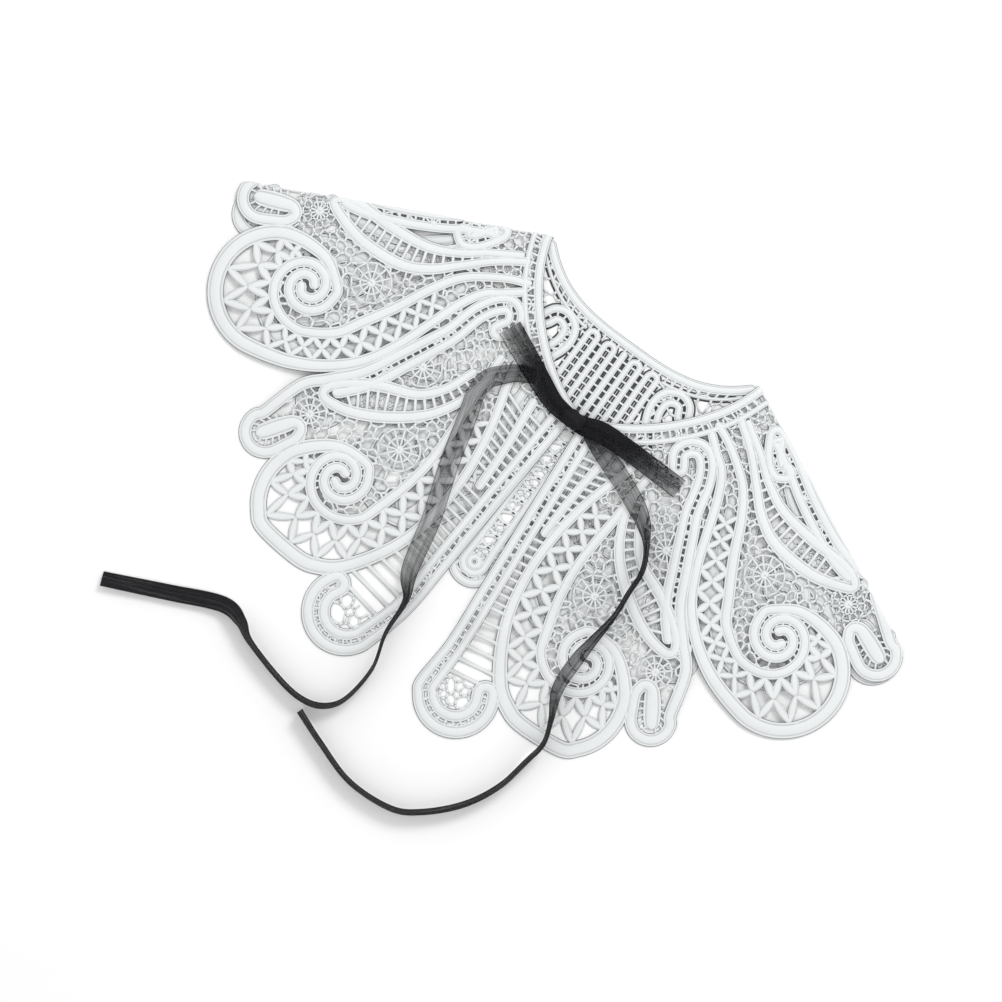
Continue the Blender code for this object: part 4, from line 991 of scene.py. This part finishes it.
# %% Ribbon strips
def ground(points):
    """The height of what lies under the ribbon."""
    height = np.zeros(len(points))
    height[inside(points, back_work.edge) | (distance_to(points, back_work.edge) < 4)] = 1.6
    for edge, waves, left in FRONTS:
        own = mirrored(points) if left else points
        over = front_height(own, waves) + 1.1
        height = np.where(inside(own, edge) | (distance_to(own, edge) < 4), np.maximum(height, over), height)
    return height


def resting(flat, widths, twists):
    """How high a ribbon's lower side lies, smoothed along it so that it spans small dips."""
    under = np.zeros(len(flat))
    for share in (-1, -0.5, 0, 0.5, 1):
        offset = share * widths / 2 * np.cos(np.radians(twists))
        under = np.maximum(under, ground(flat + offset[:, None] * left_of(flat)))
    reach = 6
    padded = np.pad(under, reach, mode="edge")
    highest = np.max([padded[i : i + len(under)] for i in range(2 * reach + 1)], axis=0)
    padded = np.pad(highest, 3, mode="edge")
    return np.maximum(highest, np.mean([padded[i : i + len(under)] for i in range(7)], axis=0))


def strip(name, path, side, widths, twists, layers, columns=9, wave=0.0, lean=0.0):
    """A thin ribbon along a path. Its width runs along side, turned up on edge by the twists. It can be bunched
    more closely at one side than at the other, by the lean."""
    along = np.gradient(path, axis=0)
    along /= np.maximum(np.linalg.norm(along, axis=1), 1e-9)[:, None]
    face = np.cross(along, side)
    tilt = np.radians(twists)[:, None]
    across = np.cos(tilt) * side + np.sin(tilt) * face
    normal = np.cross(along, across)
    share = np.linspace(-1, 1, columns)
    length = np.concatenate([[0], np.cumsum(np.linalg.norm(np.diff(path, axis=0), axis=1))])
    fold = wave * (np.cos(share * math.pi * 1.5)[None] + 0.5 * np.sin(length[:, None] / 9 + 3 * share[None]))
    grid = path[:, None] + share[None, :, None] * widths[:, None, None] / 2 * across[:, None]
    grid = grid + fold[:, :, None] * normal[:, None]
    rows = len(path)
    row, column = np.meshgrid(np.arange(rows - 1), np.arange(columns - 1), indexing="ij")
    first = (row * columns + column).ravel()
    quads = np.stack([first, first + columns, first + columns + 1, first + 1], axis=1)
    uvs = np.stack([np.repeat(length, columns) / 10, np.tile(share, rows) / 2 + 0.5], axis=1)
    obj = lace_object(name, grid.reshape(-1, 3), quads, uvs)
    sheer = obj.data.attributes.new("layers", "FLOAT", "POINT")
    sheer.data.foreach_set("value", (layers[:, None] * (1 + lean * share)).ravel().astype(np.float32))
    solid = obj.modifiers.new("cloth", "SOLIDIFY")
    solid.thickness, solid.offset = 0.00014, 0
    bpy.context.view_layer.objects.active = obj
    bpy.ops.object.modifier_apply(modifier="cloth")
    obj["length"] = float(length[-1] / 1000)
    obj["width"] = float(widths.max() / 1000)
    return obj


def level_side(flat):
    return np.column_stack([left_of(flat), np.zeros(len(flat))])


def loop(name, rows, lean):
    """Out on the lower layer, over at the end, and back on the upper one."""
    line = smooth(rows, 1.6)
    flat, widths, layers = line[:, :2], line[:, 2], line[:, 3]
    low = resting(flat, widths, np.zeros(len(flat))) + CLEAR + 0.1
    end = flat[-1] - flat[-2]
    end = end / np.linalg.norm(end)
    turns = np.linspace(-60, 60, 5)
    bend = [np.array([*(flat[-1] + LAYER_STEP / 2 * math.cos(math.radians(turn)) * end),
                      low[-1] + LAYER_STEP / 2 * (1 + math.sin(math.radians(turn)))]) for turn in turns]
    path = np.vstack([np.column_stack([flat, low]), bend, np.column_stack([flat, low + LAYER_STEP])[::-1]])
    side = level_side(flat)
    sides = np.vstack([side, np.repeat(side[-1:], len(bend), axis=0), side[::-1]])
    whole = [np.concatenate([row, np.full(len(bend), row[-1]), row[::-1]]) for row in (widths, layers)]
    return strip(name, path, sides, whole[0], np.zeros(len(path)), whole[1], wave=0.14, lean=lean)


def tail(name, rows):
    line = smooth(rows, 2.0)
    flat, twists, widths, layers = line[:, :2], line[:, 2], line[:, 3], line[:, 4]
    tilt = np.radians(twists)
    z = resting(flat, widths, twists) + CLEAR + 0.5 * np.cos(tilt) + widths / 2 * np.sin(tilt)
    z[z - widths / 2 * np.sin(tilt) < 1.4] -= CLEAR / 2
    return strip(name, np.column_stack([flat, z]), level_side(flat), widths, twists, layers, wave=0.22)


ribbon = {
    "ribbon_loop_right": loop("ribbon_right", RIGHT_LOOP, 0.12),
    "ribbon_loop_left": loop("ribbon_left", LEFT_LOOP, -0.42),
    "ribbon_tail_left": tail("ribbon_end_left", LEFT_TAIL),
    "ribbon_tail_right": tail("ribbon_end_right", RIGHT_TAIL),
}
for node, piece in ribbon.items():
    print(piece.name, "mm long:", round(piece["length"] * 1000))

# %% [markdown]
# ## The knot
# The knot is a small hard lump of gathered cloth. A ball is pulled into its shape, with creases that run
# round it the way the ribbon is wrapped.

# %% Knot
bpy.ops.mesh.primitive_uv_sphere_add(segments=48, ring_count=24, radius=1.0)
knot = bpy.context.object
knot.name = knot.data.name = "ribbon_knot_wrapped"
bpy.ops.object.shade_smooth()
centre = (knot_low + knot_high) / 2
half = (knot_high - knot_low) / 2
KNOT_SHARE = np.array([1.0, 0.84, 0.86])  # of the solid's box, so that the knot runs on from the loops
spots = np.empty(len(knot.data.vertices) * 3)
knot.data.vertices.foreach_get("co", spots)
spots = spots.reshape(-1, 3)
crease = 0.93 + 0.07 * np.cos(7 * spots[:, 1] + 2.2 * spots[:, 0] + 1.5 * np.sin(3 * spots[:, 2]))
pinch = 1 - 0.12 * np.exp(-((spots[:, 0] - 0.15) / 0.18) ** 2)
spots = centre + spots * half * KNOT_SHARE * (crease * pinch)[:, None]
knot.data.vertices.foreach_set("co", spots.ravel())
knot.data.update()
bpy.ops.object.select_all(action="DESELECT")
print("knot size in mm:", (half * 2000).round(1))

# %% [markdown]
# ## Shader tools
# A material's numbers are easier to read as sums than as chains of nodes. A small class holds a socket, and
# adding or multiplying two of them adds a Math node. Colours are mixed with a Mix node, because a Math node
# would turn them grey.

# %% Sockets and nodes
class Value:
    def __init__(self, finish, socket):
        self.finish, self.socket = finish, socket

    def math(self, operation, *others, swap=False):
        inputs = [self, *others]
        if swap:
            inputs.reverse()
        return self.finish.node("ShaderNodeMath", {"operation": operation}, inputs).out(0)

    def __add__(self, other):
        return self.math("ADD", other)

    def __sub__(self, other):
        return self.math("SUBTRACT", other)

    def __rsub__(self, other):
        return self.math("SUBTRACT", other, swap=True)

    def __mul__(self, other):
        return self.math("MULTIPLY", other)

    def __truediv__(self, other):
        return self.math("DIVIDE", other)

    __radd__, __rmul__ = __add__, __mul__

    def clipped(self, low, high):
        return self.math("MAXIMUM", low).math("MINIMUM", high)

    def near(self, place, width):
        """One at a place, falling smoothly to nothing a width away."""
        return 1 - ((self - place).math("ABSOLUTE") / width).clipped(0, 1)


class Made:
    def __init__(self, finish, node):
        self.finish, self.node = finish, node

    def out(self, name):
        return Value(self.finish, self.node.outputs[name])


class Finish:
    def __init__(self, name):
        self.material = bpy.data.materials.new(name)
        self.material.use_nodes = True
        self.tree = self.material.node_tree
        self.shader = self.tree.nodes["Principled BSDF"]

    def node(self, kind, settings=None, inputs=()):
        made = self.tree.nodes.new(kind)
        for name, setting in (settings or {}).items():
            setattr(made, name, setting)
        named = inputs.items() if isinstance(inputs, dict) else enumerate(inputs)
        for place, value in named:
            self.join(value, made.inputs[place])
        return Made(self, made)

    def join(self, value, socket):
        if isinstance(value, Value):
            self.tree.links.new(value.socket, socket)
        else:
            socket.default_value = value

    def mixed(self, share, one, other):
        """A colour between two others."""
        made = self.tree.nodes.new("ShaderNodeMix")
        made.data_type = "RGBA"
        for value, socket in zip((share, one, other), (made.inputs[0], made.inputs[6], made.inputs[7])):
            self.join((*value, 1.0) if isinstance(value, tuple) else value, socket)
        return Value(self, made.outputs[2])

    def places(self):
        return self.node("ShaderNodeTexCoord").out("Object")

    def thread(self):
        """Length along the thread in centimetres, and the share of the way across it."""
        uv = self.node("ShaderNodeUVMap", {"uv_map": "thread"}).out(0)
        split = self.node("ShaderNodeSeparateXYZ", {}, [uv])
        return split.out("X"), split.out("Y")

    def noise(self, vector, scale, detail=3.0):
        return self.node("ShaderNodeTexNoise", {}, {"Vector": vector, "Scale": scale, "Detail": detail}).out(0)

    def bump(self, height, strength, distance):
        made = self.node("ShaderNodeBump", {}, {"Strength": strength, "Distance": distance, "Height": height})
        self.join(made.out("Normal"), self.shader.inputs["Normal"])

    def set(self, **values):
        for name, value in values.items():
            socket = self.shader.inputs[name.replace("_", " ")]
            self.join((*value, 1.0) if isinstance(value, tuple) else value, socket)


print("shader tools are ready")

# %% [markdown]
# ## White cotton thread
# The lace is worked in matt white cotton. The bump is the close stitching that runs across each tape. The
# colour
# carries painted shade: a little in the grooves beside a tape's cords, and near black on the sides of tapes and
# leaves and on the flanges at their foot, so that gaps and outlines read dark. A faint unevenness keeps the
# white from looking like plastic.

# %% Lace finish
def lace_finish(name, seed):
    cotton = Finish(name)
    along, across = cotton.thread()
    place = cotton.places()
    stitches = (along * (2 * math.pi * 10 / 0.55) + (across - 0.5) * 3.0).math("SINE")
    fluff = cotton.noise(place, 900.0 + seed)
    cloudy = cotton.noise(place, 60.0, 2.0)
    from_middle = (across - 0.5).math("ABSOLUTE") * 2.0
    # painted shade across each thread: light grey in the grooves beside the cords, near black on the sides and
    # foot flanges; the cloudy noise adds a random tone
    painted_groove_shade = from_middle.near(0.67, 0.15)
    painted_edge_shade = ((from_middle - 0.92) / 0.16).clipped(0.0, 1.0)
    shade = (painted_groove_shade * 0.33 + painted_edge_shade * 0.97 + (cloudy - 0.5) * 0.12).clipped(0.0, 1.0)
    colour = cotton.mixed(shade, (0.755, 0.775, 0.78), (0.04, 0.043, 0.046))
    cotton.set(Base_Color=colour, Roughness=0.86)
    cotton.shader.inputs["Sheen Weight"].default_value = 0.15
    cotton.shader.inputs["Sheen Roughness"].default_value = 0.5
    cotton.shader.inputs["Specular IOR Level"].default_value = 0.25
    cotton.bump(stitches * 0.35 + fluff * 0.8, 0.5, 0.00018)
    return cotton.material


for index, (node, piece) in enumerate(lace.items()):
    piece.data.materials.append(lace_finish(piece.name + "_cotton", index))
print("lace finishes:", len(lace))

# %% [markdown]
# ## Black organza
# Organza is woven from hard fine threads, so it is sheer where one layer lies flat and nearly black where
# it is doubled, bunched or seen on edge. The number of layers comes with the mesh, and the firm edges are
# always darker.

# %% Ribbon finish
def organza(name, sheer=True):
    cloth = Finish(name)
    along, across = cloth.thread()
    warp = (across * (2 * math.pi * 26)).math("SINE")
    weft = (along * (2 * math.pi * 26)).math("SINE")
    lengthwise = cloth.node("ShaderNodeCombineXYZ", {}, [along * 0.22, across * 7.0]).out(0)
    streak = cloth.noise(lengthwise, 1.0, 3.0)
    colour = cloth.mixed(streak, (0.004, 0.004, 0.005), (0.014, 0.014, 0.017))
    cloth.set(Base_Color=colour, Roughness=0.62)
    if sheer:
        layers = cloth.node("ShaderNodeAttribute", {"attribute_name": "layers"}).out("Fac")
        selvage = (((across - 0.5).math("ABSOLUTE") * 2.0 - 0.86) * 9.0).clipped(0, 1)
        dense = (layers + selvage * 0.3 + (warp * weft) * 0.03 + (streak - 0.5) * 0.9).clipped(0.08, 0.99)
        cloth.set(Alpha=1 - (1 - dense).math("POWER", 0.5))
    cloth.shader.inputs["Specular IOR Level"].default_value = 0.12
    cloth.bump(warp * 0.5 + weft * 0.5, 0.35, 0.00012)
    return cloth.material


for node, piece in ribbon.items():
    piece.data.materials.append(organza(piece.name + "_organza"))
knot.data.materials.append(organza("ribbon_knot_organza", sheer=False))
print("ribbon finishes:", len(ribbon) + 1)

# %% [markdown]
# ## The table and the light
# The photograph's table is plain white. A soft light from the picture's upper right gives the cords their
# faint shadows at the lower left, and a bright even sky fills the rest.

# %% Floor, world and lamps
bpy.ops.mesh.primitive_plane_add(size=6.0, location=(0, 0, -0.0002))
floor = bpy.context.object
floor.name = "table"
paint = Finish("table_paint")
grain = paint.noise(paint.places(), 6.0, 2.0)
paint.set(Base_Color=paint.mixed(grain, (0.90, 0.90, 0.90), (0.93, 0.93, 0.93)), Roughness=0.9)
floor.data.materials.append(paint.material)

world = bpy.data.worlds.new("studio")
world.use_nodes = True
world.node_tree.nodes["Background"].inputs["Color"].default_value = (1.0, 1.0, 1.0, 1.0)
world.node_tree.nodes["Background"].inputs["Strength"].default_value = 0.80
bpy.context.scene.world = world


def softbox(name, toward, distance, size, power):
    """A square lamp that faces the middle of the table."""
    lamp = bpy.data.lights.new(name, "AREA")
    lamp.energy, lamp.size = power, size
    holder = bpy.data.objects.new(name, lamp)
    place = Vector(toward).normalized() * distance
    holder.location = place
    holder.rotation_euler = (-place).to_track_quat("-Z", "Y").to_euler()
    bpy.context.scene.collection.objects.link(holder)


up_right = Matrix.Rotation(ROLL, 3, "Z") @ Vector((0.55, 0.75, 0))
softbox("key", (*up_right[:2], 1.15), 1.6, 0.5, 10.5)
softbox("fill", (-up_right[0], -up_right[1], 1.6), 1.8, 1.6, 3)
bpy.context.scene.view_settings.view_transform = "Standard"
bpy.context.scene.view_settings.look = "None"
print("lamps: key and fill")

# %% [markdown]
# ## Putting each piece on the collar's body
# Every piece rides on the collar's one body, and the solid that it replaces is hidden. Each ribbon strip
# carries the length and width that it was cut to. A lace panel's outline comes from the flat pattern and not
# from the finished mesh, and is cut back at the shoulder folds, but nothing is kept from it.


def cut_at_fold(edge, limit):
    """A panel's outline, with what runs past a shoulder fold brought back to where the panel stops."""
    return edge - np.maximum(past_fold(edge) - limit, 0)[:, None] * FOLD_OUT


works = {"collar_back": back_work, "collar_front_left": left_front, "collar_front_right": right_front}
for node, piece in lace.items():
    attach(piece, "root")
    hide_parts(node)
    edge = cut_at_fold(works[node].edge, 0 if node == "collar_back" else FOLD_LENGTH)
    if node == "collar_back":
        edge = mirrored(cut_at_fold(mirrored(edge), 0))
for node, piece in ribbon.items():
    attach(piece, "root")
    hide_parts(node)
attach(knot, "root")
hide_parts("ribbon_knot")
